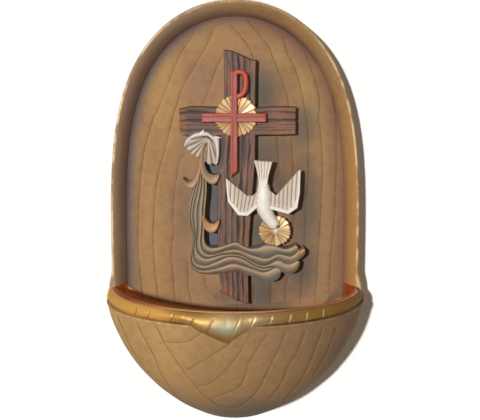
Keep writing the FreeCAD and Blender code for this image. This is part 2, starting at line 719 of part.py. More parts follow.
# Stations along the dove from the end of its tail to the tip of its beak: place, half width.
DOVE_STATIONS = [(13.1, 58.0, 3.0), (13.2, 52.0, 2.5), (13.0, 46.5, 3.4), (12.8, 41.0, 3.9),
                 (14.2, 36.5, 3.7), (16.8, 32.6, 3.0), (19.0, 30.4, 2.3), (20.8, 28.9, 0.6)]
DOVE_TAIL = [(8.8, 62.1), (13.0, 61.2), (17.3, 61.4), (16.6, 56.5), (15.7, 51.0), (10.9, 51.0), (10.2, 57.0)]
LEFT_WING = [(10.4, 47.0), (8.6, 45.2), (4.3, 46.4), (-0.5, 49.9), (-4.4, 53.6), (-3.8, 44.2), (-2.9, 41.1),
             (1.4, 35.7), (6.7, 35.8), (10.4, 38.4)]
RIGHT_WING = [(15.8, 46.4), (19.5, 45.0), (24.5, 49.6), (29.2, 56.5), (31.4, 57.0), (31.0, 43.3),
              (28.2, 38.0), (24.4, 36.7), (16.6, 38.0)]
LEFT_FEATHERS = [((0.4, 39.4), (-3.0, 51.4)), ((3.2, 39.2), (0.2, 48.4)), ((5.8, 39.6), (3.4, 46.2)),
                 ((8.0, 40.6), (6.4, 45.2))]
RIGHT_FEATHERS = [((19.0, 40.0), (19.4, 44.2)), ((21.6, 40.0), (22.2, 46.4)), ((24.2, 40.2), (25.2, 49.2)),
                  ((26.8, 41.2), (28.0, 53.2)), ((29.0, 43.4), (29.8, 55.4))]
TAIL_FEATHERS = [((12.4, 53.0), (11.0, 61.0)), ((13.1, 53.0), (13.1, 61.0)), ((13.8, 53.0), (15.2, 61.0))]
DOVE_ROUNDNESS = 1.15      # how soon its narrow parts reach the full height of the body
DOVE_PEG_PLACE = (13.0, 46.5)   # behind the breast
CUT_THROUGH = 1.0          # how far a cut starts in front of the face it goes into


def feather_groove(start, end, face_level):
    """A narrow trench between two feathers."""
    run = Vector(end[0] - start[0], 0, end[1] - start[1])
    across = Vector(run.z, 0, -run.x).normalize() * (size("feather_width") / 2)
    corners = [(start[0] - across.x, start[1] - across.z), (start[0] + across.x, start[1] + across.z),
               (end[0] + across.x, end[1] + across.z), (end[0] - across.x, end[1] - across.z)]
    return prism(corners, face_level - size("feather_depth"), face_level + CUT_THROUGH)


def dove_shape():
    """The diving dove: a rounded body between two feathered wings and a fan tail."""
    sections = []
    stations = on_grid(DOVE_STATIONS)
    fullest = max(half_width for x, z, half_width in stations)
    for index, (x, z, half_width) in enumerate(stations):
        before = stations[max(0, index - 1)]
        after = stations[min(len(stations) - 1, index + 1)]
        along = Vector(after[0] - before[0], 0, after[1] - before[1]).normalize()
        across = Vector(along.z, 0, -along.x) * half_width
        centre = front(x, CROSS_LEVEL, z)
        rise = front(0, size("body_relief") * min(1.0, DOVE_ROUNDNESS * half_width / fullest), 0)
        top = Part.Arc(centre + across, centre + rise, centre - across).toShape()
        base = Part.makeLine(centre - across, centre + across)
        sections.append(Part.Wire([top, base]))
    body = Part.makeLoft(sections, True, True)
    wing_level = CROSS_LEVEL + size("wing_thickness")
    flats = [prism(on_grid(outline), CROSS_LEVEL, wing_level)
             for outline in (DOVE_TAIL, LEFT_WING, RIGHT_WING)]
    grooves = []
    for feathers in (LEFT_FEATHERS, RIGHT_FEATHERS, TAIL_FEATHERS):
        for pair in feathers:
            start, end = on_grid(pair)
            grooves.append(feather_groove(start, end, wing_level))
    spread = flats[0].fuse(flats[1:]).cut(grooves)
    return body.fuse(spread)


# --------------------------------------------------- pins, dowels and screws

def wall_middle(level_below_rim):
    """Half width at the middle of the bowl's wall, a level below the rim."""
    outer = bowl_quarter(BOWL_HALF_WIDTH, size("bowl_drop"))
    inner = bowl_quarter(NICHE_HALF_WIDTH, size("bowl_drop") - size("bowl_wall"))
    return (crossing(outer, -level_below_rim).x + crossing(inner, -level_below_rim).x) / 2


def pins_behind_relief():
    """Short pins that hold the beams of the cross to the field."""
    level = "Sizes.field_level - Sizes.pin_depth"
    length = "2 * Sizes.pin_depth"
    places = [("upright_pin_high", "Sizes.upright_lean / 2", "Sizes.arm_level + Sizes.arm_height"),
              ("upright_pin_low", "0", "Sizes.upright_foot"),
              ("arm_pin_left", "-(Sizes.arm_left - Sizes.pin_inset)", "Sizes.arm_level"),
              ("arm_pin_right", "Sizes.arm_right - Sizes.pin_inset", "Sizes.arm_level")]
    bars = [round_bar(name, "Sizes.pin_radius", length, x, z, level) for name, x, z in places]
    return joined("cross_pins", "Part::Compound", bars)


def bowl_dowels():
    """Dowels in the joint between the board and the back edge of the bowl."""
    across = wall_middle(size("dowel_level_high"))
    level = "Sizes.board_thickness - Sizes.dowel_depth"
    bars = []
    for name, side in (("dowel_left", -1), ("dowel_right", 1)):
        bars.append(round_bar(name, "Sizes.dowel_radius", "2 * Sizes.dowel_depth",
                              str(side * across), "-Sizes.dowel_level_high", level))
    return joined("bowl_dowels", "Part::Compound", bars)


def countersunk_screw(name, radius, head_radius, head_height, length, x, z):
    """A screw driven forwards from the wall side; its head is flush with the back."""
    shank = round_bar(name + "_shank", radius, length, x, z, "0")
    head = doc.addObject("Part::Cone", name + "_head")
    head.Placement = FreeCAD.Placement(Vector(), FreeCAD.Rotation(Vector(1, 0, 0), 90))
    head.setExpression("Radius1", head_radius)
    head.setExpression("Radius2", radius)
    head.setExpression("Height", head_height)
    head.setExpression("Placement.Base.x", x)
    head.setExpression("Placement.Base.z", z)
    return joined(name, "Part::MultiFuse", [shank, head])


def bowl_screws():
    """Screws from the back of the board into the wall of the bowl."""
    across = wall_middle(size("screw_level_high"))
    low = "-(Sizes.bowl_drop - Sizes.bowl_wall / 2)"
    places = [("bowl_screw_left", str(-across), "-Sizes.screw_level_high"),
              ("bowl_screw_right", str(across), "-Sizes.screw_level_high"),
              ("bowl_screw_low", "0", low)]
    screws = [countersunk_screw(name, "Sizes.screw_radius", "Sizes.screw_head_radius",
                                "Sizes.screw_head_height", "Sizes.board_thickness + Sizes.screw_depth", x, z)
              for name, x, z in places]
    return joined("bowl_screws", "Part::Compound", screws)


def hanger_screws():
    screws = []
    for name, sign in (("hanger_screw_high", "+"), ("hanger_screw_low", "-")):
        screws.append(countersunk_screw(
            name, "Sizes.hanger_screw_radius", "Sizes.hanger_screw_head", "Sizes.hanger_sheet * 0.8",
            "Sizes.hanger_sheet + Sizes.hanger_screw_depth", "0",
            "%s %s Sizes.hanger_screw_offset" % (HANGER_HEIGHT, sign)))
    return joined("hanger_screws", "Part::Compound", screws)


def plate_blank(name):
    """The outline of the hanger plate, let into the back of the board."""
    body = new_body(name)
    sketch = wall_sketch(body, name + "_outline", "0", None, HANGER_HEIGHT)
    radius = size("hanger_width") / 2
    end = size("hanger_height") / 2 - radius
    draw_slot(sketch, -end, end, radius)
    pad(body, sketch, name + "_pad", "Sizes.hanger_sheet")
    doc.recompute()
    return body


def keyhole_plate():
    body = plate_blank("keyhole_blank")
    sketch = wall_sketch(body, "keyhole", "0", None, HANGER_HEIGHT)
    radius = size("keyhole_radius")
    half = size("slot_width") / 2
    join = math.sqrt(radius ** 2 - half ** 2)
    top = size("slot_rise") - half
    sketch.addGeometry(Part.Arc(Vector(half, join, 0), Vector(0, -radius, 0), Vector(-half, join, 0)), False)
    sketch.addGeometry(Part.LineSegment(Vector(-half, join, 0), Vector(-half, top, 0)), False)
    sketch.addGeometry(Part.Arc(Vector(-half, top, 0), Vector(0, top + half, 0), Vector(half, top, 0)), False)
    sketch.addGeometry(Part.LineSegment(Vector(half, top, 0), Vector(half, join, 0)), False)
    pocket(body, sketch, "keyhole_cut", "Sizes.hanger_sheet", True)
    return body


def head_hollow():
    """The hollow in the board behind the keyhole, where the head of the wall screw goes."""
    body = new_body("head_hollow")
    sketch = wall_sketch(body, "head_hollow_outline", "Sizes.hanger_sheet", None, HANGER_HEIGHT)
    radius = size("keyhole_radius") + size("head_clearance")
    draw_slot(sketch, 0.0, size("slot_rise") - size("slot_width") / 2, radius)
    pad(body, sketch, "head_hollow_pad", "Sizes.head_room")
    return body


# ------------------------------------------------------------------- assembly

cross_pins = pins_behind_relief()
dowels = bowl_dowels()
screws = bowl_screws()
plate_screws = hanger_screws()
dove_peg = round_bar("dove_peg", "Sizes.peg_radius",
                     "Sizes.pin_depth + Sizes.beam_thickness + Sizes.body_relief / 2",
                     "Sizes.relief_grid * %s" % DOVE_PEG_PLACE[0],
                     "Sizes.relief_grid * %s" % DOVE_PEG_PLACE[1],
                     "Sizes.field_level - Sizes.pin_depth")
host_peg = round_bar("host_peg", "Sizes.peg_radius",
                     "Sizes.lower_host_level - Sizes.field_level + Sizes.pin_depth",
                     "Sizes.lower_host_x", "Sizes.lower_host_z", "Sizes.field_level - Sizes.pin_depth")
doc.recompute()

hollow = computed("niche_hollow", niche_hollow(0.0, 0.0))
seats = joined("board_seats", "Part::MultiFuse",
               [hollow, plate_blank("plate_seat"), head_hollow(), cross_pins, dowels, screws,
                plate_screws, dove_peg, host_peg])
board = cut("back_board", board_body(), seats)
bowl = cut("bowl_shell", bowl_blank(), joined("bowl_seats", "Part::Compound", [dowels, screws]))
leaf = computed("bead_leaf", leaf_shape())
bead = joined("rim_bead", "Part::MultiFuse", [bead_blank(), leaf])
liner = joined("basin_liner", "Part::MultiFuse", [liner_front(), computed("liner_back", liner_back())])
cross_upright = cut("cross_upright_pinned", upright(), cross_pins)
cross_arm = cut("cross_arm_pinned", arm(), cross_pins)
upper_host = pleated_disc("upper_host", "Sizes.upper_host_x", "Sizes.upper_host_z", "upper_host_radius",
                          CROSS_FACE, UPPER_PLEATS)
rho = rho_cross("rho_cross")
shell = computed("scallop_shell", shell_shape())
water = computed("water_stream", water_shape(shell.Shape))
lower_disc = pleated_disc("lower_disc", "Sizes.lower_host_x", "Sizes.lower_host_z", "lower_host_radius",
                          "Sizes.lower_host_level", LOWER_PLEATS)
lower_host = cut("lower_host", lower_disc, water)
dove = cut("dove_pinned", computed("dove_carving", dove_shape()), dove_peg)
plate = cut("hanger_plate", keyhole_plate(), plate_screws)
doc.recompute()

NODES = {
    "back_board": board, "bowl_shell": bowl, "rim_bead": bead, "basin_liner": liner,
    "cross_upright": cross_upright, "cross_arm": cross_arm, "upper_host": upper_host, "rho_cross": rho,
    "scallop_shell": shell, "water_stream": water, "dove": dove, "lower_host": lower_host,
    "cross_pins": cross_pins, "dove_peg": dove_peg, "host_peg": host_peg, "bowl_dowels": dowels,
    "bowl_screws": screws, "hanger_plate": plate, "hanger_screws": plate_screws,
}

for item in doc.Objects:
    if "Invalid" in item.State or "Error" in item.State:
        raise RuntimeError("%s did not build" % item.Label)
for node, item in NODES.items():
    if item.Shape.isNull() or not item.Shape.isValid() or not item.Shape.Solids:
        raise RuntimeError("%s has no valid solid" % node)
for node, item in NODES.items():
    item.Label = node
    item.Shape.exportStep("parts/%s.step" % node)
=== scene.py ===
import math

import bmesh
import bpy
import numpy as np
from bpy.props import FloatProperty, FloatVectorProperty, IntProperty, PointerProperty
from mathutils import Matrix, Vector


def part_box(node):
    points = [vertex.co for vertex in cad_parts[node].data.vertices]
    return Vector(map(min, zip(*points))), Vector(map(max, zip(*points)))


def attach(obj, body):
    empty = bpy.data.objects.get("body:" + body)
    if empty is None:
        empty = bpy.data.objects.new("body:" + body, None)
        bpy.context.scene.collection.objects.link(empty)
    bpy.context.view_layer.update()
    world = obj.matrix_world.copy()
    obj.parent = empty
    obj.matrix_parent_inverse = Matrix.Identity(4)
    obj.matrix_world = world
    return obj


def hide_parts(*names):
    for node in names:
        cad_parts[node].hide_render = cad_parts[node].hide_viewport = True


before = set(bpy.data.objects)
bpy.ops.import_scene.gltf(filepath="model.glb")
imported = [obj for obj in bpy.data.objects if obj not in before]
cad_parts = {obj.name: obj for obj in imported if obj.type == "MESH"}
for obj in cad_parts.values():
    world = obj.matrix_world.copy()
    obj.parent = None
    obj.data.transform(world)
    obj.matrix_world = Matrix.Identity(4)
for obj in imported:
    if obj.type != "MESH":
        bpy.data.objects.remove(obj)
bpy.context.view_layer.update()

bl_info = {
    "name": "Holy water stoup",
    "version": (1, 0, 0),
    "blender": (4, 5, 0),
    "location": "View3D > Sidebar > Stoup",
    "description": "Carved and painted dress of a wall-hung holy water stoup",
    "category": "Object",
}

# ---------------------------------------------------------------- the frame
#
# Shapes are worked out in millimetres: x to the right, z above the rim, and a
# level in front of the wall. Meshes are written in metres, at y = -level.

MM = 0.001


def corners(node):
    """The box of a CAD node in millimetres: lowest and highest corner."""
    low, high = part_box(node)
    return np.array(low) / MM, np.array(high) / MM


BOARD_LOW, BOARD_HIGH = corners("back_board")
BEAM_LOW, BEAM_HIGH = corners("cross_upright")
BEAD_LOW, BEAD_HIGH = corners("rim_bead")

ARCH_HEIGHT = BOARD_HIGH[2]
BOWL_DROP = -BOARD_LOW[2]
BOWL_HALF = BOARD_HIGH[0]
THICKNESS = -BOARD_LOW[1]
FIELD = -BEAM_HIGH[1]          # level of the flat field
CROSS = -BEAM_LOW[1]           # level of the face of the cross
BOWL_DEPTH = 47.0
BOARD_HALF = 59.6
RADIUS = 60.0                  # about that of board and bowl: a depth over it is a share to shrink by
SHOULDER = 1.4                 # how much the arch widens to meet the bowl
ARCH_POWER = 4.0               # squareness of the arch
BOWL_FALL, BOWL_ROUND = 1.7, 0.575
BEAD_FOOT = 6.0                # foot of the bead below the rim
DIP_HALF = 54.0                # half width of the dip where the field goes on into the basin
LINER_DIP = 11.0               # how far the liner's back edge dips below the rim
LIP_TOP, LIP_HIGH = 0.42, 0.4  # the liner's lip above the rim: where it is bent, where it is cut off
GLUE_GAP = 0.15                # round the liner
BACK_GAP = 0.05                # between the wall and the painted skin of the board
HANGING_HOLE = 104.0           # middle of the hole for the screw head
ON_FIELD = FIELD - 0.02        # backs of the carvings, a hair inside what carries them
ON_CROSS = CROSS - 0.05


# ------------------------------------------------------------------- sizes

def length(name, description, value):
    return FloatProperty(name=name, description=description, default=value * MM,
                         subtype="DISTANCE", unit="LENGTH")


def linear(code):
    """An sRGB hex colour as linear red, green, blue."""
    parts = [int(code[i:i + 2], 16) / 255 for i in (0, 2, 4)]
    return tuple(p / 12.92 if p <= 0.04045 else ((p + 0.055) / 1.055) ** 2.4 for p in parts)


def colour(name, description, code):
    return FloatVectorProperty(name=name, description=description, default=linear(code),
                               size=3, min=0, max=1, subtype="COLOR")


class STOUP_PG_sizes(bpy.types.PropertyGroup):
    land: length("Gilded edge", "Width of the gilded edge of the niche", 1.25)
    cove: length("Hollow", "Width of the hollow between the edge and the field", 5.5)
    cove_top: length("Hollow at the top", "Width of the same hollow at the top of the arch", 6.8)
    line_width: length("Grain line", "Half width of a carved grain line", 0.85)
    line_depth: length("Grain depth", "Depth of a carved grain line", 0.3)
    bowl_wall: length("Bowl wall", "Wall of the bowl", 4.8)
    leaf_drop: length("Leaf", "Rim level to the tip of the leaf under the bead", 14.5)
    liner_wall: length("Liner", "Wall of the copper liner", 1.0)
    pleats: IntProperty(name="Pleats", description="Pleats of the disc on the cross", default=25, min=8)


class STOUP_PG_colours(bpy.types.PropertyGroup):
    ochre: colour("Ochre stain", "Main colour of the stained wood", "A68254")
    rose: colour("Rose stain", "Second tone of the stained wood", "9A7659")
    wash_and_shade: colour("Brown wash", "Dark wash in the hollow and its corners", "5A4238")
    line: colour("Line brown", "Grain lines", "593519")
    gold: colour("Gold paint", "Gold of the edge and the bead", "946C30")
    copper: colour("Copper paint", "Inside of the basin", "C8683A")
    beam: colour("Weathered wood", "Ridges of the cross", "725749")
    groove: colour("Wood groove", "Grooves of the cross", "38302F")
    red: colour("Red paint", "The rho cross", "985248")
    crest: colour("Water crest", "Crests of the water", "9A8260")
    trough: colour("Water trough", "Hollows of the water", "6A6C63")
    white: colour("White paint", "Dove and shell", "E8E4DA")
    feather: colour("Feather line", "Lines between the feathers", "A9824F")
    host: colour("Pale gold", "Pleated discs", "DCCBA6")


def millimetres(value):
    return value / MM


# ------------------------------------------------------------------ meshes

def flow(points, count, curved=True):
    """A line through the points, smooth (Catmull-Rom) or straight between them, cut into equal
    lengths. Columns after the first two, such as a width, are carried along."""
    p = np.array(points, float)
    p = np.vstack([2 * p[0] - p[1], p, 2 * p[-1] - p[-2]])
    place = np.linspace(0, len(points) - 1, 30 * len(points))
    i = np.minimum(place.astype(int), len(points) - 2)
    f = (place - i)[:, None]
    a, b, c, d = p[i], p[i + 1], p[i + 2], p[i + 3]
    if curved:
        bend, twist = 2 * a - 5 * b + 4 * c - d, 3 * b - a - 3 * c + d
        line = 0.5 * (2 * b + (c - a) * f + bend * f ** 2 + twist * f ** 3)
    else:
        line = b + (c - b) * f
    run = np.r_[0, np.cumsum(np.linalg.norm(np.diff(line[:, :2], axis=0), axis=1))]
    even = np.linspace(0, run[-1], count)
    return np.stack([np.interp(even, run, column) for column in line.T], axis=1)


def off_line(x, z, route):
    """How far places lie from a line of points."""
    near = np.full(x.shape, 1e9)
    for (ax, az), (bx, bz) in zip(route[:-1, :2], route[1:, :2]):
        run_x, run_z = bx - ax, bz - az
        t = np.clip(((x - ax) * run_x + (z - az) * run_z) / (run_x ** 2 + run_z ** 2), 0, 1)
        near = np.minimum(near, (x - ax - t * run_x) ** 2 + (z - az - t * run_z) ** 2)
    return np.sqrt(near)


def ribbon(first, second, rows, columns, curved=True):
    """Places of a strip between two lines: across and above, the share u from the first line to
    the second, and the width of each row."""
    a, b = flow(first, rows, curved), flow(second, rows, curved)
    u = np.linspace(0, 1, columns)[None]
    x = a[:, :1] * (1 - u) + b[:, :1] * u
    z = a[:, 1:2] * (1 - u) + b[:, 1:2] * u
    return x, z, u, np.hypot(*(b - a)[:, :2].T)[:, None]


def grid(columns, rows, start=0):
    """Shares from start to 1 across, as a row, and from 0 to 1 along, as a column."""
    return np.linspace(start, 1, columns)[None], np.linspace(0, 1, rows)[:, None]


def turns(count):
    """Angles all the way round, as a row."""
    return np.linspace(0, 2 * math.pi, count, endpoint=False)[None]


def stand(x, level, z):
    """Points in metres from places on the wall and distances in front of it."""
    x, level, z = np.broadcast_arrays(x, level, z)
    return np.stack([x, -level, z], axis=-1) * MM


def smooth_step(low, high, value):
    """0 before low, 1 after high, and a smooth climb between; it falls where low is the larger."""
    t = np.clip((value - low) / (high - low), 0, 1)
    return t * t * (3 - 2 * t)


def bell(distance, width):
    """1 at distance 0, falling off as a bell over width."""
    return np.exp(-(distance / width) ** 2)


def ripple(x, z, size, seed=0.0):
    """An even mix of five waves, between -1 and 1, about size millimetres long."""
    total = 0
    for k in range(5):
        turn = 2.4 * k + seed
        place = x * math.cos(turn) + z * math.sin(turn)
        total = total + np.sin(place * (1 + 0.23 * k) * 6.28 / size + 1.7 * k + seed)
    return total / 5


def rounded(distance, radius):
    """How far a face falls back at a distance from its edge, as a quarter round."""
    d = np.clip(radius - distance, 0, radius)
    return radius - np.sqrt(radius ** 2 - d ** 2)


def skin(name, rings, painted=None, sharp=50):
    """A closed surface through a stack of closed rings: points go round a ring, then from
    ring to ring. The first and last ring are closed by a face, or meet in a point. Painted
    amounts become attributes of the mesh."""
    rows, around = rings.shape[:2]
    index = np.arange(rows * around).reshape(rows, around)
    nxt = np.roll(index, -1, axis=1)
    quads = np.stack([index[:-1], nxt[:-1], nxt[1:], index[1:]], axis=-1).reshape(-1, 4)
    faces = quads.tolist()
    for place, order in ((0, -1), (-1, 1)):
        if np.ptp(rings[place], axis=0).max() > 1e-6:
            faces.append(index[place][::order].tolist())
    mesh = bpy.data.meshes.new(name)
    mesh.from_pydata(rings.reshape(-1, 3), [], faces)
    for key, values in (painted or {}).items():
        layer = mesh.attributes.new(key, "FLOAT", "POINT")
        layer.data.foreach_set("value", np.broadcast_to(values, (rows, around)).astype(np.float32).ravel())
    work = bmesh.new()
    work.from_mesh(mesh)
    bmesh.ops.remove_doubles(work, verts=work.verts, dist=2e-7)
    bmesh.ops.recalc_face_normals(work, faces=work.faces)
    work.to_mesh(mesh)
    work.free()
    mesh.polygons.foreach_set("use_smooth", [True] * len(mesh.polygons))
    mesh.set_sharp_from_angle(angle=math.radians(sharp))
    piece = bpy.data.objects.new(name, mesh)
    bpy.context.scene.collection.objects.link(piece)
    return piece


def slab(name, x, z, front, back, painted, sharp=60):
    """A carved slab: a front sheet and a back sheet over the same places, row by row. Each
    painted amount is a pair: its values on the front sheet, and one value behind."""
    rings = np.concatenate([stand(x, front, z), stand(x, back, z)[:, ::-1]], axis=1)
    sheets = {key: np.concatenate([np.broadcast_to(ahead, x.shape), np.full(x.shape, behind)], axis=1)
              for key, (ahead, behind) in painted.items()}
    return skin(name, rings, sheets, sharp)


def swept(name, route, half_width, half_height, level, painted=None, around=16):
    """An oval section carried along a route over the wall; widths and levels may change on the way."""
    turn = turns(around)
    ahead = np.gradient(route[:, :2], axis=0)
    ahead /= np.linalg.norm(ahead, axis=1, keepdims=True)
    course = (half_width, half_height, level)
    half_width, half_height, level = (np.broadcast_to(v, (len(route),))[:, None] for v in course)
    x = route[:, :1] - ahead[:, 1:2] * half_width * np.cos(turn)
    z = route[:, 1:2] + ahead[:, :1] * half_width * np.cos(turn)
    return skin(name, stand(x, level + half_height * np.sin(turn), z), painted)


def joined(name, pieces):
    """Several meshes as one piece."""
    work = bmesh.new()
    for piece in pieces:
        work.from_mesh(piece.data)
    mesh = pieces[0].data
    work.to_mesh(mesh)
    work.free()
    for piece in pieces[1:]:
        data = piece.data
        bpy.data.objects.remove(piece)
        bpy.data.meshes.remove(data)
    pieces[0].name = name
    mesh.name = name
    return pieces[0]


def settle(piece, material, node):
    """Gives a piece its finish and its place in the frame."""
    piece.data.materials.append(material)
    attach(piece, "root")
    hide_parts(node)


# --------------------------------------------------------------- materials

def feed(tree, socket, value):
    """Sets a node's input, or links it to another node's output."""
    if isinstance(value, bpy.types.NodeSocket):
        tree.links.new(value, socket)
    else:
        socket.default_value = value


def add(tree, kind, inputs=None, **settings):
    """Adds a node with its settings; an input takes a plain value or another node's output."""
    item = tree.nodes.new(kind)
    for key, value in settings.items():
        setattr(item, key, value)
    for key, value in (inputs or {}).items():
        feed(tree, item.inputs[key], value)
    return item


def node_tree(owner):
    """The node tree of a material or a world, emptied."""
    owner.use_nodes = True
    owner.node_tree.nodes.clear()
    return owner.node_tree


def shade(colour):
    """A colour for a node: another node's output, a hex code, or a colour of the panel."""
    if isinstance(colour, bpy.types.NodeSocket):
        return colour
    return (*(linear(colour) if isinstance(colour, str) else colour), 1.0)


class Paint:
    """A material in the making, with the colour laid on so far. An amount is a node's output or
    the name of a mesh attribute."""

    def __init__(self, name, **settings):
        """The settings go on the shader's own sockets."""
        self.material = bpy.data.materials.new(name)
        self.tree = node_tree(self.material)
        self.shader = add(self.tree, "ShaderNodeBsdfPrincipled", settings)
        add(self.tree, "ShaderNodeOutputMaterial", {"Surface": self.shader.outputs["BSDF"]})
        self.places = add(self.tree, "ShaderNodeTexCoord").outputs["Object"]
        self.base = None

    def add(self, kind, *values, **settings):
        """Adds a node with its settings and gives its first live output. The values go to its live
        inputs in order: a number, another node's output, a colour, or a mesh attribute's name."""
        node = add(self.tree, "ShaderNode" + kind, **settings)
        for socket, value in zip([socket for socket in node.inputs if socket.enabled], values):
            if socket.type == "RGBA":
                value = shade(value)
            elif isinstance(value, str):
                value = add(self.tree, "ShaderNodeAttribute", attribute_name=value).outputs["Fac"]
            feed(self.tree, socket, value)
        return next(socket for socket in node.outputs if socket.enabled)

    def patches(self, size_mm, detail=3.0, stretch=(1, 1, 1)):
        """A pattern of soft patches about size_mm wide, drawn out along an axis by stretch."""
        scale = tuple(1 / s for s in stretch)
        mapping = add(self.tree, "ShaderNodeMapping", {"Vector": self.places, "Scale": scale})
        inputs = {"Vector": mapping.outputs["Vector"], "Scale": 1000 / size_mm, "Detail": detail}
        return add(self.tree, "ShaderNodeTexNoise", inputs).outputs["Fac"]

    def ground(self, size_mm, first, second, detail=3.0, stretch=(1, 1, 1), reach=(0.35, 0.7)):
        """The first coat: two colours in soft patches about size_mm wide. Gives their pattern."""
        tone = self.add("MapRange", self.patches(size_mm, detail, stretch), *reach)
        self.base = self.add("Mix", tone, first, second, data_type="RGBA")
        return tone

    def over(self, *coats):
        """Lays on more coats: pairs of an amount and a colour."""
        for amount, colour in coats:
            self.base = self.add("Mix", amount, self.base, colour, data_type="RGBA")

    def connect(self, socket, value):
        self.tree.links.new(value, self.shader.inputs[socket])

    def done(self, *reliefs):
        """Links the colour and the fine relief: pairs of a pattern and its depth in millimetres."""
        self.connect("Base Color", self.base)
        below = {}
        for pattern, depth in reliefs:
            inputs = {"Height": pattern, "Strength": 1.0, "Distance": depth * MM, **below}
            below = {"Normal": add(self.tree, "ShaderNodeBump", inputs).outputs["Normal"]}
            self.connect("Normal", below["Normal"])
        return self.material


def shared(name, make, colours):
    """A material that several pieces wear: the one made before, or a new one."""
    return bpy.data.materials.get(name) or make(colours)


# The mesh carries each cut line as a wide bell; its colour fills only the middle of it.
LINE_MIDDLE = (0.74, 0.95)
# Tones laid on from mesh attributes. Besides sprayed colour they carry painted light and shade, where the
# board and the bowl lay them by how the light falls.
LIMEWOOD_TONES = (("rose", "957358"), ("ochre", "AC8957"), ("bright", "D6AA6A"), ("slate", "57554F"),
                  ("blue", "4E6478"), ("haze_shade", "53545F"), ("violet", "6E5043"), ("wash_and_shade", "49352E"),
                  ("shade", "7A4818"))


def stained_limewood(colours):
    """Limewood, carved and stained: close grain, so a soft matt face; the stain pools in the cut lines and is
    rubbed pale between them. In the hollows, the corners and on the bowl its tones are also painted light and
    shade."""
    paint = Paint("stained_limewood", **{"Roughness": 0.7, "IOR": 1.5, "Specular IOR Level": 0.2})
    cloud = paint.patches(26, 3.0, (1, 1, 1.8))
    rosy = paint.add("MapRange", cloud, 0.36, 0.66, 0.0, 0.6)
    paint.base = paint.add("Mix", rosy, colours.ochre, colours.rose, data_type="RGBA")
    # Real pores are 0.05 mm; they are drawn 0.4 mm wide to show.
    pores = paint.patches(0.45, 2.0, (1, 1, 5))
    paint.over((paint.add("MapRange", pores, 0.35, 0.75, 0.0, 0.14), colours.wash_and_shade))
    edges = paint.add("MapRange", cloud, 0.3, 0.7, 0.75, 1.0)
    for name, code in LIMEWOOD_TONES:
        paint.over((paint.add("Math", name, edges, operation="MULTIPLY"), code))
    paint.over((paint.add("MapRange", paint.patches(3.5, 4.0), 0.45, 0.72, 0.0, 0.22), colours.wash_and_shade))
    breaks = paint.add("MapRange", paint.patches(2.6, 2.0), 0.3, 0.6, 0.45, 1.0)
    line = paint.add("Math", paint.add("MapRange", "grain", *LINE_MIDDLE), breaks, operation="MULTIPLY")
    line = paint.add("Math", line, paint.add("MapRange", "faint", 0, 1, 0.62, 0.55), operation="MULTIPLY")
    # The gold is rubbed on: thin spots show the wood.
    worn = paint.add("MapRange", paint.patches(2.6, 4.0, (1.5, 1, 3)), 0.42, 0.56, 0.1, 1.0)
    gilt = paint.add("Math", "gilt", worn, operation="MULTIPLY")
    # Mauve lightens the shaded left side of the hollow and amber colours the lit right side: painted light.
    paint.over((line, colours.line), ("mauve", "E6CBB6"), ("amber", "AE7D48"), (gilt, "CDB68C"))
    paint.connect("Metallic", paint.add("MapRange", gilt, 0, 1, 0.0, 0.45))
    paint.connect("Roughness", paint.add("MapRange", gilt, 0, 1, 0.7, 0.45))
    return paint.done((paint.patches(3.5, 3.0, (1, 1, 2)), 0.1), (pores, 0.02))


def rubbed_gold(colours):
    """Bronze powder paint on wood, rubbed: a satin metal glow, brown in the cuts, paler on the crests."""
    paint = Paint("rubbed_gold_paint", **{"Roughness": 0.38, "Metallic": 0.7, "Specular IOR Level": 0.3})
    tone = paint.ground(9, colours.gold, "7C5A28")
    streak = paint.add("MapRange", paint.patches(1.4, 4.0, (4, 4, 1)), 0.5, 0.75, 0.0, 0.45)
    # The glow is a painted highlight on the leaf and along the middle. Sun paints the left part lighter as
    # painted light, and olive paints the right part and the leaf's lower edge darker as painted shade.
    paint.over((streak, "7A5626"), ("glow", "86846E"), ("sun", "CA984C"), ("olive", "78561C"),
               ("pale", "D8C894"), ("grain", "5C3C1B"))
    # At its ends the powder lies thick and dull: less metal, a rougher face.
    paint.connect("Metallic", paint.add("MapRange", "dull", 0, 1, 0.7, 0.1))
    rubbed = paint.add("MapRange", tone, 0, 1, 0.4, 0.52)
    powdery = paint.add("MapRange", "dull", 0, 1, 0.0, 0.25)
    paint.connect("Roughness", paint.add("Math", rubbed, powdery, operation="ADD"))
    return paint.done((paint.patches(2.4, 3.0), 0.1))


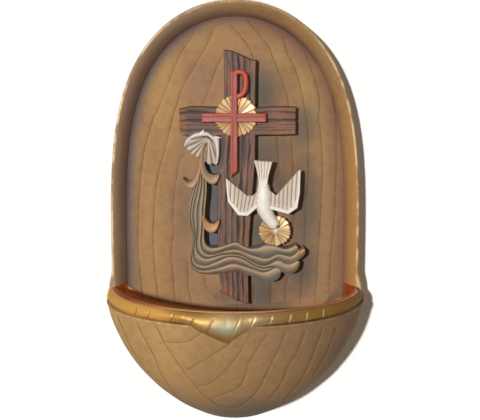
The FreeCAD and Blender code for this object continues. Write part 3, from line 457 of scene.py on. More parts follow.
def copper_paint(colours):
    """Copper powder paint: warm satin metal, paler on the rolled lip as a painted highlight. Above the water
    line the back of the basin is stained as wood instead, painted pale and orange where the rim shades it, as
    painted light."""
    paint = Paint("copper_paint", Roughness=0.34, Metallic=0.75)
    tone = paint.ground(7, colours.copper, "96502A")
    wood = paint.add("Mix", "slate", "8E6C48", "6A5238", data_type="RGBA")
    line = paint.add("MapRange", "grain", *LINE_MIDDLE, 0, 0.62)
    # In the rim's shade the wood is painted pale and orange: painted light.
    for amount, colour in (("dim", "FFDCA4"), ("painted_fill_light", "F0A24E"), (line, colours.line)):
        wood = paint.add("Mix", amount, wood, colour, data_type="RGBA")
    paint.over(("stain", wood), ("pale", "EDAE86"))
    # The stain is matt and no metal, except where it is painted pale in the rim's shade. There a little metal
    # mirrors the white room and lights it: a painted reflection. The pale lip is less metal than the rest.
    plain = paint.add("Math", "stain", paint.add("MapRange", "dim", 0, 1, 1.0, 0.7), operation="MULTIPLY")
    plain = paint.add("Math", plain, paint.add("MapRange", "pale", 0, 1, 0.0, 0.75), operation="MAXIMUM")
    paint.connect("Metallic", paint.add("MapRange", plain, 0, 1, 0.75, 0.0))
    matt = paint.add("MapRange", "stain", 0, 1, 0.0, 0.75)
    satin = paint.add("MapRange", tone, 0, 1, 0.3, 0.48)
    paint.connect("Roughness", paint.add("Math", satin, matt, operation="MAXIMUM"))
    return paint.done((paint.patches(1.8, 3.0), 0.08))


def weathered_wood(colours):
    """Split softwood, brushed and stained dark: worn ridges catch the light, grooves stay slate."""
    paint = Paint("weathered_pine", Roughness=0.68, IOR=1.5)
    paint.ground(6, colours.beam, "63504A", reach=(0.35, 0.68))
    fine = paint.patches(0.7, 3.0)
    paint.over(("warm", "A2663C"), (paint.add("MapRange", fine, 0.4, 0.75, 0.0, 0.3), "4A3836"),
               ("grain", colours.groove))
    return paint.done((fine, 0.1))


def pale_gold(colours):
    """Gold paint over white ground on thin wood: pale crests, and ochre on the falling face of each fold as
    painted shade, with a brown line.
    """
    paint = Paint("pale_gold_paint", Roughness=0.45, Metallic=0.15)
    paint.ground(3.0, colours.host, "D2B88C", 2.0)
    paint.over(("fold", "CF9C58"), ("grain", "8A5A2C"))
    return paint.done((paint.patches(0.8, 2.0), 0.05))


def red_paint(colours):
    """Matt red paint on carved wood: worn rose on the crests, darker in the cuts."""
    paint = Paint("red_paint", Roughness=0.5, IOR=1.5)
    paint.ground(1.6, colours.red, "A85650", 3.0, (1, 1, 4))
    paint.over(("warm", "BC4A2C"), ("grain", "7C3434"))
    return paint.done((paint.patches(0.9, 3.0), 0.08))


def water_glaze(colours):
    """Carved wood, dark glaze wiped off the crests: tan crests over slate hollows, plum undersides."""
    paint = Paint("wiped_water_glaze", Roughness=0.5, IOR=1.5)
    tone = paint.ground(5.0, colours.trough, "5A564B")
    crest = paint.add("Mix", tone, colours.crest, "9A7F62", data_type="RGBA")
    paint.over(("crest", crest), ("amber", "B4804F"), ("plum", "7E4A44"))
    return paint.done((paint.patches(0.8, 3.0), 0.06))


def white_paint(colours):
    """White ground and matt paint on carved wood: tan paint lies in the cuts, and grey paint darkens the
    valleys between the shell's ribs, the sides of its rim and the feathered part of the wings as painted
    shade.
    """
    paint = Paint("white_ground_paint", Roughness=0.5, IOR=1.5)
    paint.ground(4.0, colours.white, "D9D2CC", reach=(0.35, 0.7, 0.0, 0.6))
    paint.over(("tan", "A68F78"), ("dusk", "8A7B77"), ("grain", colours.feather))
    return paint.done((paint.patches(0.9, 3.0), 0.05))


def eye_paint():
    """Brown-black gloss paint, a little uneven."""
    paint = Paint("painted_eye", Roughness=0.3, IOR=1.5)
    paint.base = paint.add("Mix", paint.patches(0.4, 2.0), "1B1715", "2B2421", data_type="RGBA")
    return paint.done()


def zinc_steel():
    """Zinc-plated steel sheet: grey metal with faint cloudy plating."""
    paint = Paint("zinc_plated_steel", Metallic=1.0, Roughness=0.35)
    cloud = paint.ground(2.5, "8E8F8F", "757675")
    paint.connect("Roughness", paint.add("MapRange", cloud, 0, 1, 0.28, 0.45))
    return paint.done((paint.patches(0.5, 2.0), 0.01))


def beech():
    """Turned beech pegs: pale wood with short flecks along the grain."""
    paint = Paint("turned_beech", Roughness=0.6, IOR=1.5)
    fleck = paint.ground(0.5, "C9A273", "A97F52", 2.0, (1, 6, 1), (0.4, 0.7))
    return paint.done((fleck, 0.02))


def repaint(node, material):
    """Gives a CAD node that keeps its own shape a better material."""
    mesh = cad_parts[node].data
    if not mesh.materials:
        mesh.materials.append(material)
    for place in range(len(mesh.materials)):
        mesh.materials[place] = material


# ------------------------------------------------------- board, bowl, bead

# Carved grain lines of the field and the bowl: places across and above the rim.
FIELD_LINES = [
    [(-19, 124), (-20, 120.5), (-26.5, 110.5), (-37, 85), (-39, 81.5), (-45, 58.5), (-47.5, 21.5),
     (-45.5, -8.5)],
    [(8.5, 110), (7, 114.5), (4, 118.5), (-1, 124), (-4, 125.5), (-8, 125.5), (-10, 123.5), (-13.5, 116),
     (-26, 93), (-33.5, 67), (-38.5, 46), (-40, 15.5), (-37.5, -10.5)],
    [(-5.5, 111), (-8, 107), (-15, 88)],
    [(-24.5, 63.5), (-27, 59.5), (-30, 38.5), (-30, 24.5), (-31, 19), (-31, 10), (-29.5, -11.5)],
    [(-23.5, 11), (-23, -3), (-21, -12.5)],
    [(-15, 3), (-14, -2.5), (-8, -9)],
    [(6, 127.5), (15.5, 115.5), (17, 112.5), (24.5, 93.5), (25.5, 86.5)],
    [(22.5, 120), (25, 112), (30, 100), (34.5, 78), (35.5, 54.5), (34.5, 42.5), (34, 20.5), (32, -11.5)],
    [(32, 114), (34, 110.5), (40, 92), (40, 80), (41, 73.5), (42, 51), (39.5, -10.5)],
    [(46.5, 92), (48.5, 75.5), (48.5, 39), (46.5, 5.5), (46.5, -9.5)],
    [(20, 72), (21, 55.5), (20, 51)],
    [(27, 72), (28, 57), (28.5, 25.5)],
    [(26, 3), (25, -2.5), (25, -12)],
    [(17.5, 1), (17.5, -13)],
    [(9.5, -1), (8.5, -13)],
    [(1, -10), (1, -13.5)],
]
BOWL_LINES = [
    [(-56.5, -7), (-52, -19), (-46.5, -30.5), (-41.5, -38.5)],
    [(-47, -6), (-41, -19), (-37.5, -26.5), (-35, -35), (-27.5, -52)],
    [(-37, -7.5), (-29.5, -22), (-17, -42), (-12.5, -47.5), (-7.5, -51.5), (-2.5, -52.5), (1.5, -52),
     (6.5, -47), (10.5, -41.5), (16, -28), (21.5, -14.5), (23, -9)],
    [(-22.5, -30), (-17, -26), (-9, -19.5), (-2, -14)],
    [(-17, -39.5), (-12, -37), (-7, -32.5), (0, -22.5), (5, -14), (6.5, -10)],
    [(-11.5, -47), (0, -40), (3.5, -35.5), (5.5, -28.5), (8, -21.5), (14.5, -10)],
    [(-32, -15.5), (-27, -15.5), (-21.5, -14), (-17.5, -11), (-15.5, -9.5)],
    [(16.5, -47.5), (21.5, -38.5), (24.5, -29), (28.5, -21.5), (32.5, -10)],
    [(23.5, -51), (29, -42.5), (33, -34), (41, -10)],
    [(37.5, -37), (43, -25), (47.5, -12)],
    [(44, -37), (51, -23), (55.5, -11.5)],
]
# Cuts across the bead: where each starts at the foot and ends at the rim.
BEAD_CUTS = [(-46.2, -45.3), (-40.5, -38.7), (-29.8, -27.4), (-20.8, -17.4), (-13.1, -8.6), (-1.6, 3.7),
             (6.8, 9.9), (15.7, 17.4), (24.5, 25.8), (32.5, 33.3), (40.4, 40.9)]


def line_groove(x, z, lines, width):
    """How deep a place lies in the nearest line: 1 on it, falling off as a bell over width.
    Each line swells and thins on its way."""
    deepest = np.zeros_like(x)
    for number, line in enumerate(lines):
        length_mm = np.linalg.norm(np.diff(np.array(line, float), axis=0), axis=1).sum()
        route = flow(line, max(6, int(length_mm / 1.2)))
        route[:, 0] += 0.22 * ripple(route[:, 0], route[:, 1], 7.0)
        swell = width * (1 + 0.35 * ripple(0, z, 23, number))
        deepest = np.maximum(deepest, bell(off_line(x, z, route), swell))
    return deepest


def outline(half_arch, top, half_bowl, drop, count):
    """A closed outline: up the right side of the arch, over the top, down, and round the bowl.
    Arch: x = half * sqrt(1 - u^4), z = top * u. Bowl: x = half * (1 - v^1.7)^0.575, z = -drop * v."""
    quarter = np.linspace(0, math.pi / 2, count // 4, endpoint=False)
    grow, fade = np.sin(quarter), np.cos(quarter)

    def arch(u):
        return half_arch * np.sqrt(np.maximum(0, 1 - u ** ARCH_POWER))

    x = np.concatenate([arch(grow), -arch(fade), -half_bowl * fade ** (2 * BOWL_ROUND),
                        half_bowl * grow ** (2 * BOWL_ROUND)])
    z = np.concatenate([top * grow, top * fade, -drop * grow ** (2 / BOWL_FALL),
                        -drop * fade ** (2 / BOWL_FALL)])
    return x, z


def board_edge(count, inset=0.0):
    """The outline of the board, which widens below the shoulders to the bowl."""
    x, z = outline(BOARD_HALF, ARCH_HEIGHT, BOWL_HALF, BOWL_DROP, count)
    arch = np.arange(count) < count // 2
    widen = np.where(arch, SHOULDER * (1 - smooth_step(0, 9, z)),
                     -(BOWL_HALF - BOARD_HALF - SHOULDER) * smooth_step(-5, 0, z))
    x = x + np.sign(x) * widen
    shrink, middle_z = 1 - inset / RADIUS, 20
    return x * shrink, (z - middle_z) * shrink + middle_z


def patches(x, z, places):
    """Soft round patches: centre across and above the rim, reach both ways, strength."""
    total = np.zeros(x.shape)
    for centre_x, centre_z, wide, high, strength in places:
        away = ((x - centre_x) / wide) ** 2 + ((z - centre_z) / high) ** 2
        total = np.maximum(total, strength * np.exp(-away ** 1.4))
    return total


# Where the sprayed tones of the field lie.
FIELD_PATCHES = {
    "slate": [(13, 92, 8.5, 16, 1.0), (13, 62, 10, 17, 1.0), (19, 66, 10, 10, 0.7), (-10, 42, 5, 18, 1.0),
              (-10, 24, 5, 11, 1.0), (-10, 59, 6, 7, 1.0), (11.5, 25, 6.5, 14, 1.0), (33, 77, 7, 12, 1.0),
              (20, 52, 6, 9, 0.9), (33.5, 40, 8.5, 28, 1.0), (13, -5, 8, 13, 1.0), (32, 9, 9, 17, 0.9),
              (24, 2, 14, 9, 0.6), (-24, 36, 4, 18, 0.3), (-19, 71, 6, 4, 0.6), (-4, -8, 8, 4, 0.5),
              (-50, 2, 7, 14, 0.25)],
    "blue": [(-10, 44, 5, 14, 0.45), (-10, 24, 6, 12, 0.7), (-10, 59, 6, 6, 0.55)],
    "violet": [(24, 96, 8, 14, 0.35), (26, 48, 11, 20, 0.6), (24, 66, 8, 9, 0.5), (27, 14, 9, 12, 0.6),
               (22, -4, 9, 10, 0.5), (-27, 26, 6, 24, 0.22)],
    "rose": [(-17, 100, 9, 14, 0.8), (-22, 25, 12, 40, 0.7), (-10, -4, 22, 8, 0.7)],
    "ochre": [(-34, 92, 8, 28, 0.9), (35, 88, 7, 20, 0.8), (-8, 119, 22, 5, 0.2), (20, 108, 6, 10, 0.7),
              (-42, 30, 5, 36, 0.6), (46, 5, 6, 34, 0.4)],
}


def hollow_rise(share):
    """How high the hollow stands between the field (share 0) and the edge (share 1): half of it a
    straight slope, half a round, so it is steep at its foot and eases towards the edge."""
    return 0.5 * share + 0.5 * np.sin(share * math.pi / 2)


def niche_board(sizes, colours):
    """The board as one skin: from the middle of the field outwards over the hollow and the
    gilded edge, back along the side, and in over the flat back to the seat of the hanger."""
    count, field_rings, cove_rings = 760, 103, 12
    land, cove, cove_top = (millimetres(v) for v in (sizes.land, sizes.cove, sizes.cove_top))
    edge_x, edge_z = board_edge(count)
    half, drop = BOARD_HALF - land, BOWL_DROP - millimetres(sizes.bowl_wall)

    def inset_line(side, top):
        return outline(half - side, ARCH_HEIGHT - land - top, half - side, drop - side, count)

    field_x, field_z = inset_line(cove, cove_top)
    middle_x, middle_z = 0.5, 45.0
    rows = []

    def ring(x, level, z):
        rows.append(np.broadcast_arrays(x, float(level), z))

    for share in np.linspace(0, 1, field_rings):
        ring(middle_x + share * (field_x - middle_x), FIELD, middle_z + share * (field_z - middle_z))
    for share in np.linspace(0, 1, cove_rings + 1)[1:]:
        x, z = inset_line(cove * (1 - share), cove_top * (1 - share))
        ring(x, FIELD + (THICKNESS - 0.25 - FIELD) * hollow_rise(share), z)
    inner_x, inner_z = inset_line(0, 0)
    for share, sink in ((0.12, 0.12), (0.45, 0.0), (0.8, 0.1)):
        ring(inner_x + share * (edge_x - inner_x), THICKNESS - sink, inner_z + share * (edge_z - inner_z))
    for sink in (0.45, 1.6, 4.0, 8.0, THICKNESS - 0.5):
        ring(edge_x, THICKNESS - sink, edge_z)
    back_x, back_z = board_edge(count, 0.5)
    ring(back_x, BACK_GAP, back_z)

    # Two steps in the back: the seat of the hanger plate and a pocket for the screw head.
    turn = np.arctan2(edge_z - HANGING_HOLE, edge_x)
    hanger_low, hanger_high = corners("hanger_plate")
    centre = (hanger_low[2] + hanger_high[2]) / 2
    seat_radius = hanger_high[0] + 0.05
    seat_reach = (hanger_high[2] - hanger_low[2]) / 2 - seat_radius
    seat, pocket, pocket_radius, pocket_run = 1.25, 4.0, 5.5, 7.9
    for radius, low, high, level in ((seat_radius, -seat_reach, seat_reach, BACK_GAP),
                                     (seat_radius, -seat_reach, seat_reach, seat),
                                     (pocket_radius, 0, pocket_run, seat),
                                     (pocket_radius, 0, pocket_run, pocket), (0, 0, 0, pocket)):
        end = centre + np.where(np.sin(turn) > 0, high, low)
        ring(radius * np.cos(turn), level, end + radius * np.sin(turn))

    x, level, z = (np.stack(part) for part in zip(*rows))
    number = np.arange(len(rows))[:, None]
    field = number < field_rings
    hollow = ~field & (number <= field_rings + cove_rings)
    rim = (number >= field_rings + cove_rings) & (number <= field_rings + cove_rings + 3)
    climb = np.clip((number - field_rings + 1) / cove_rings, 0, 1)
    grain = line_groove(x, z, FIELD_LINES, millimetres(sizes.line_width)) * (climb < 0.5)
    level = level - grain * millimetres(sizes.line_depth)
    # How far a place of the field lies in from the foot of the hollow, square to it.
    along = np.stack([np.roll(v, -1) - np.roll(v, 1) for v in (field_x, field_z)])
    along /= np.linalg.norm(along, axis=0)
    reach = np.abs((field_x - middle_x) * along[1] - (field_z - middle_z) * along[0])
    away = np.clip(1 - number / (field_rings - 1), 0, 1) * reach
    level = level + 0.15 * ripple(x, z, 30, 1.0) * field * smooth_step(0, 4, away)

    # The tones: the left side of the hollow lies in shade, the right side in the light. They paint light and
    # shade. The left side, the foot of the hollow and the edge of the field are painted darker, in brown and
    # grey-blue, and the foot also violet, as painted shade. The hollow is painted paler on the left (mauve)
    # and orange on the right (amber) as painted light. Besides this, the field keeps its sprayed violet
    # patches.
    left, high = smooth_step(20, -30, x), smooth_step(15, 70, z)
    right, foot = 1 - left, smooth_step(0.5, 0.05, climb)
    tones = {key: patches(x, z, places) * field for key, places in FIELD_PATCHES.items()}
    violet = bell(away, 5.5 + 2 * right) * (0.1 + 0.65 * right) * foot
    violet = violet + 0.35 * smooth_step(98, 125, z) * bell(away, 2.5) * foot
    tones["violet"] = np.maximum(violet, tones["violet"])
    tones["wash_and_shade"] = (bell(away, 1.2) * (0.15 + 0.5 * left) * field
                     + left * (0.15 + 0.55 * high) * smooth_step(0.85, 0.0, climb) * hollow)
    tones["mauve"] = (0.12 + 0.1 * climb) * left * hollow
    tones["haze_shade"] = bell(away, 3.5) * left * 0.95 * field + 0.25 * left * hollow
    tones["amber"] = right * hollow * smooth_step(-0.2, 1.0, climb) * 0.85 * smooth_step(110, 60, z)
    # Where the field dips into the basin it is painted red-brown, strongest towards the left: painted shade
    # and painted copper reflection.
    tones["shade"] = smooth_step(2.6, 0.0, z + dip(x, 11.3)) * field * smooth_step(-18, -44, x)
    tones["gilt"] = rim * (1 - 0.6 * smooth_step(100, 132, z) - 0.25 * right)
    tones["grain"] = grain
    piece = skin("niche_board", stand(x, np.maximum(level, BACK_GAP), z), tones)
    settle(piece, stained_limewood(colours), "back_board")


def dip(x, deep):
    """How far below the rim the back of the basin starts: half an ellipse, deep in the middle."""
    return deep * np.sqrt(np.clip(1 - (x / DIP_HALF) ** 2, 0, 1))


def drawn(x, level, factor):
    """Places moved to or from the middle of the rim, in the plane of their height."""
    return x * factor, THICKNESS + (level - THICKNESS) * factor


def bowl_point(across, down, half, drop, depth):
    """A place on the round of the bowl: across turns from the left (0) over the front to the right
    (pi), down from the rim (0) to the bottom (pi / 2). Width and depth shrink alike as it falls."""
    shrink = np.cos(down) ** (2 * BOWL_ROUND)
    x = -half * np.cos(across) * shrink
    level = THICKNESS + depth * np.sin(across) * shrink
    return x, level, -drop * np.sin(down) ** (2 / BOWL_FALL)


def start_angle(level_below, drop):
    """The fall angle of the bowl's round at a level below the rim."""
    return math.asin((level_below / drop) ** (BOWL_FALL / 2))


def wooden_bowl(sizes, colours):
    """The bowl as rings that run down the outside and up the inside, from the left to the right."""
    wall = millimetres(sizes.bowl_wall)
    across = np.linspace(0, math.pi, 330)[:, None]
    outside = np.linspace(start_angle(BEAD_FOOT, BOWL_DROP), math.pi / 2, 190)[None]
    inside = np.linspace(math.pi / 2, start_angle(BEAD_FOOT, BOWL_DROP - wall), 16)[None]
    x, level, z = bowl_point(across, outside, BOWL_HALF, BOWL_DROP, BOWL_DEPTH)
    grain = line_groove(x, z, BOWL_LINES, millimetres(sizes.line_width)) * smooth_step(-7.4, -8.4, z)
    # The top edge of the bowl stands a little proud, as a thin ledge under the bead.
    below = -z - BEAD_FOOT
    ledge = smooth_step(1.6, 0.6, below)
    sink = grain * millimetres(sizes.line_depth) + 0.3 * (1 - ledge) * smooth_step(30, 0, below)
    sink = sink + 0.12 * (1 + ripple(x, z, 26, 2.0))
    shrink = 1 - sink / RADIUS
    x, level = drawn(x, level, shrink)
    below = below * np.where(z < -20, shrink, 1)
    z = -BEAD_FOOT - below
    inner = bowl_point(across, inside, BOWL_HALF - wall, BOWL_DROP - wall, BOWL_DEPTH - wall * 0.75)
    rings = np.concatenate([stand(x, level, z), stand(*inner)], axis=1)

    # Painted light and shade: darker just under the ledge, from the middle to the right, as a painted shadow
    # of the bead. Darker towards the bottom and to the right as painted shade, and lighter to the left as
    # painted light. The ledge's gilding is stronger to the left as a painted highlight.
    wash_and_shade = smooth_step(2.6, 0.8, below) * (1 - ledge) * 0.22 * smooth_step(-25, 5, x)
    foot = smooth_step(-38, -62, z) * 0.75 + 0.2 * smooth_step(-15, 10, x) * smooth_step(-35, -50, z)
    sunlit = 0.5 * smooth_step(-10, -32, x) * smooth_step(-54, -30, z)
    tones = {
        "grain": grain, "faint": 1.0,
        "gilt": ledge * (0.75 + 0.25 * ripple(x, z, 9)) * (0.2 + 0.5 * smooth_step(5, -20, x)),
        "wash_and_shade": wash_and_shade + smooth_step(0.75, 1.0, np.sin(outside)) * 0.4,
        "slate": np.maximum(0.16 + smooth_step(5, 60, x) * 0.3, foot),
        "violet": smooth_step(10, 60, x) * 0.2, "ochre": smooth_step(20, -50, x) * 0.9,
        "bright": np.maximum(sunlit, 0.9 * smooth_step(-45, -57, x))}
    inner_columns = ((0, 0), (0, inside.size))
    tones = {key: np.pad(np.broadcast_to(values, x.shape), inner_columns) for key, values in tones.items()}
    material = shared("stained_limewood", stained_limewood, colours)
    settle(skin("wooden_bowl", rings, tones), material, "bowl_shell")


def gilded_bead(sizes, colours):
    """The bead as rings across its section, a round face from the rim (share 0) to its foot
    (share 1), which stands out most a little below its middle. At the middle the foot draws
    down over the bowl into a swelling leaf."""
    wall = millimetres(sizes.bowl_wall)
    across = np.linspace(0, math.pi, 460)[:, None]
    share = np.linspace(0, 1, 40)[None]
    middle_x = -BOWL_HALF * np.cos(across)
    tip_x, tip_drop, leaf_half = -3.6, millimetres(sizes.leaf_drop), 21.0
    leaf = np.clip(1 - np.abs(middle_x - tip_x) / leaf_half, 0, 1)
    leaf = np.where(middle_x < tip_x, leaf ** 1.05, leaf ** 1.6)
    foot = BEAD_FOOT + leaf * (tip_drop - BEAD_FOOT) + 0.1 * ripple(middle_x, 0, 14)
    down = foot * share
    body = smooth_step(0, 0.5, leaf)
    crest = -1.1 + 1.3 * np.sin(across) ** 2
    peak = 0.55 + 0.15 * body
    swell = bell(middle_x + 5, np.where(middle_x < -5, 13, 10))
    upper = (np.clip(peak - share, 0, 1) / peak) ** 2 * (2.4 + 1.8 * body)
    lower = (np.clip(share - peak, 0, 1) / (1 - peak)) ** 2 * (1.4 + 0.2 * body)
    out = crest + swell - upper - lower
    # The keel: to its right the leaf falls away in a flat facet.
    keel = -3.0 + 5.0 * (1 - share)
    out = out - 0.5 * body * smooth_step(0, 9, middle_x - keel) * smooth_step(0.1, 0.5, share)
    fall = np.clip((down / BOWL_DROP) ** (BOWL_FALL / 2), 0, 1)
    radius = BOWL_HALF * np.sqrt(1 - fall ** 2) ** (2 * BOWL_ROUND) + out

    def round_rim(radius):
        return -radius * np.cos(across), THICKNESS + (BOWL_DEPTH / BOWL_HALF) * radius * np.sin(across)

    x, level = round_rim(radius)
    z = -down
    cut = np.zeros(x.shape)
    for low_x, top_x in BEAD_CUTS:
        along = top_x + (low_x - top_x) * np.clip(down / np.maximum(foot * 0.9, BEAD_FOOT), 0, 1.2)
        ends = smooth_step(0.1, 0.3, share) * smooth_step(1.0, 0.85, share)
        cut = np.maximum(cut, bell(x - along, 0.28) * ends)
    x, level = drawn(x, level, 1 - cut * 0.35 / RADIUS)
    inner_z = np.concatenate([-foot, -foot * 0.5, 0 * foot], axis=1) * 0.96
    inner_radius = np.concatenate([radius[:, -1:] - 1.6, np.full((across.size, 2), BOWL_HALF - wall)], axis=1)
    rings = np.concatenate([stand(x, level, z), stand(*round_rim(inner_radius), inner_z)], axis=1)
    rings[..., 0] = np.clip(rings[..., 0], BEAD_LOW[0] * MM, BEAD_HIGH[0] * MM)
    rings[..., 1:] = np.maximum(rings[..., 1:], BEAD_LOW[1:] * MM)
    right = smooth_step(-8, 6, x)
    # Painted light and shade: a highlight on the leaf, the left part lighter, the right part and the lower
    # edge of the leaf darker.
    tones = {
        "grain": cut * (1 - right) * 0.7, "pale": cut * right * 0.6,
        "glow": np.maximum(0.9 * bell(x + 3.5, 8) * bell(z + 6.5, 4), 0.35 * bell(x - 8, 22)),
        "olive": np.maximum(0.8 * smooth_step(2, 45, x), 0.85 * body * smooth_step(0.62, 0.95, share)),
        "sun": 0.9 * smooth_step(-22, -38, x),
        "dull": np.maximum(smooth_step(-36, -54, x), smooth_step(36, 54, x))}
    inner_columns = ((0, 0), (0, inner_z.shape[1]))
    tones = {key: np.pad(values, inner_columns) for key, values in tones.items()}
    settle(skin("gilded_bead", rings, tones), rubbed_gold(colours), "rim_bead")


def hollow_inset(x, z, cove, half, drop):
    """How far a place of the basin's back lies in from the edge of the niche, found by halving."""
    low = np.zeros_like(x)
    high = np.full_like(x, cove)
    for _ in range(24):
        mid = (low + high) / 2
        inside = np.clip(-z / (drop - mid), 0, 1)
        room = (half - mid) * (1 - inside ** BOWL_FALL) ** BOWL_ROUND - np.abs(x)
        low = np.where(room > 0, mid, low)
        high = np.where(room > 0, high, mid)
    return (low + high) / 2


def copper_liner(sizes, colours):
    """The liner as one skin: up the outside from its bottom, over the rolled lip, down the inside.
    Its front half follows the bowl, its back half the hollow of the niche."""
    cove = millimetres(sizes.cove)
    half = BOARD_HALF - millimetres(sizes.land) - GLUE_GAP
    drop = BOWL_DROP - millimetres(sizes.bowl_wall) - GLUE_GAP
    turn = turns(320)
    front = np.sin(turn) >= 0
    # The back starts at the dip, the front and the last bit of the back at the lip.
    low_back = ~front & (np.abs(np.cos(turn)) * half <= DIP_HALF - 0.1)
    top = np.where(low_back, -dip(half * np.cos(turn), LINER_DIP), LIP_TOP)

    def sheet(inset, share):
        """Rings of the basin's wall, drawn in by inset, from the top (0) to the bottom (1)."""
        reach = drop - inset
        z = top + (-reach - top) * np.sin(share[:, None] * math.pi / 2) ** (2 / BOWL_FALL)
        fall = np.clip(-z / reach, 0, 1)
        width = (half - inset) * (1 - fall ** BOWL_FALL) ** BOWL_ROUND
        x = width * np.cos(turn)
        bowl = THICKNESS + width * (BOWL_DEPTH / BOWL_HALF) * np.abs(np.sin(turn))
        deep = hollow_inset(x, np.minimum(z, 0), cove, half, drop)
        hollow = FIELD + 0.1 + (THICKNESS - 0.25 - FIELD) * hollow_rise(1 - deep / cove)
        # Behind, the wall of the liner runs out thin towards the field.
        thin = inset * (0.1 + 0.4 * smooth_step(0, 3, top - z))
        return x, np.where(front, bowl, hollow + thin), z

    down = np.linspace(0, 1, 60)
    ahead = front * smooth_step(0, 0.25, np.sin(turn))
    outer = sheet(0.0, down[::-1])
    inner = sheet(millimetres(sizes.liner_wall), down)
    lip = [(a[-1:] + b[:1]) / 2 for a, b in zip(outer, inner)]
    lip[2] += 0.12
    outer[2][-1] -= 0.15 + 0.25 * front[0]
    inner[2][0] -= 0.15 + 0.9 * ahead[0]

    def rolled(ring, out, height):
        """A ring of the lip: the one given, moved outwards, and in front set to a height."""
        x, level, z = ring
        return (*drawn(x, level, 1 + out / half), np.where(front, height, z))

    # In front the lip is rolled out over the wood. Towards the water it is rolled in as well,
    # thickest at the left end.
    edge = [part[-1:] for part in outer]
    roll = [rolled(edge, out * ahead, LIP_TOP - below)
            for out, below in ((1.5, 0.4), (1.75, 0.22), (1.4, 0.02), (0.6, 0.0))]
    thick = (0.5 + 2.4 * smooth_step(-5, -50, lip[0]) ** 2) * ahead
    fold = [rolled(lip, -inward * thick, LIP_HIGH - below)
            for inward, below in ((0.45, 0.0), (0.85, 0.1), (1.0, 0.35), (0.7, 0.7))]
    x, level, z = (np.concatenate(part) for part in zip(outer, *roll, lip, *fold, inner))
    z = np.minimum(z, LIP_HIGH)
    lip_rings = np.zeros((len(x), 1))
    lip_rings[len(down):-len(down)] = 1
    # Above the water line the back is stained like the field it goes on from. Where it lies in the shade of
    # the rim it is painted pale and orange as painted light, and its left end is painted orange as a painted
    # copper reflection.
    below = z + dip(x, LINER_DIP)
    stain = ~front * smooth_step(55, 51.5, x) * smooth_step(-54.5, -52, x) * smooth_step(-9, -6, below)
    shaded = np.interp(x, [-45, -30, 0, 20], [-2.2, -2.4, -3.9, -5.3])
    dim = smooth_step(shaded + 0.9, shaded - 1.1, below)
    wedge = smooth_step(-4, -1.5, x - 53 - 0.6 * z)
    piece = skin("copper_liner", stand(x, level, z), {
        "stain": stain, "dim": dim,
        # The rolled lip is painted paler, most in the middle and left of it: a painted highlight.
        "pale": lip_rings * front * (0.25 + 0.75 * smooth_step(30, 0, x) * smooth_step(-52, -22, x)),
        "painted_fill_light": np.clip(dim * 0.7 + 0.5 * smooth_step(-38, -52, x), 0, 1),
        "grain": line_groove(x, z, FIELD_LINES, millimetres(sizes.line_width)) * stain,
        "slate": np.maximum(smooth_step(-14, 2, x) * smooth_step(34, 20, x), wedge)})
    settle(piece, copper_paint(colours), "basin_liner")


# ------------------------------------------------------------------- relief

UPRIGHT_LEFT = [(-10, 6.8), (-5, -6.4), (5.2, -7.8), (22.7, -8.5), (40, -8.7), (59.5, -8.1), (66.7, -7.4),
                (90.7, -5.2), (102.5, -5.1), (114, -5.3)]
UPRIGHT_RIGHT = [(-10, 6.8), (2.7, 6.5), (22.7, 6.8), (34.1, 7.7), (61.9, 9.7), (74, 9.8), (90.7, 9.7),
                 (100.1, 9.9), (114, 10.1)]


def wood_cuts(across, along, centres, seed):
    """Long split grooves: each wanders a little and changes its width and depth on its way."""
    deepest = np.zeros_like(across)
    for number, (centre, width, depth) in enumerate(centres):
        wander = 0.55 * ripple(along, 0, 30, seed + number) + 0.2 * ripple(along, 0, 8, seed - number)
        swell = width * (1 + 0.35 * ripple(along, 0, 21, 5 * number + seed))
        strength = depth * (0.7 + 0.4 * ripple(along, 0, 26, 3 * number + seed))
        away = np.abs((across - centre - wander) / swell)
        deepest = np.maximum(deepest, strength * np.exp(-away ** 2.5))
    return np.clip(deepest, 0, 1)


def beam(name, x, z, edge, grooves, warm, colours, node):
    """A beam of the cross: a slab whose face is split by grooves and worn round at the edges."""
    front = CROSS - 1.2 * grooves - rounded(edge, 0.9) * 0.9 - 0.15 + 0.15 * ripple(x, z, 11, 2)
    grain = np.maximum(smooth_step(0.25, 0.8, grooves), np.clip(1 - edge / 0.5, 0, 1) * 0.3)
    painted = {"grain": (grain, 0.6), "warm": (warm, 0)}
    piece = slab(name, x, z, np.minimum(front, CROSS), ON_FIELD, painted, 50)
    settle(piece, shared("weathered_pine", weathered_wood, colours), node)


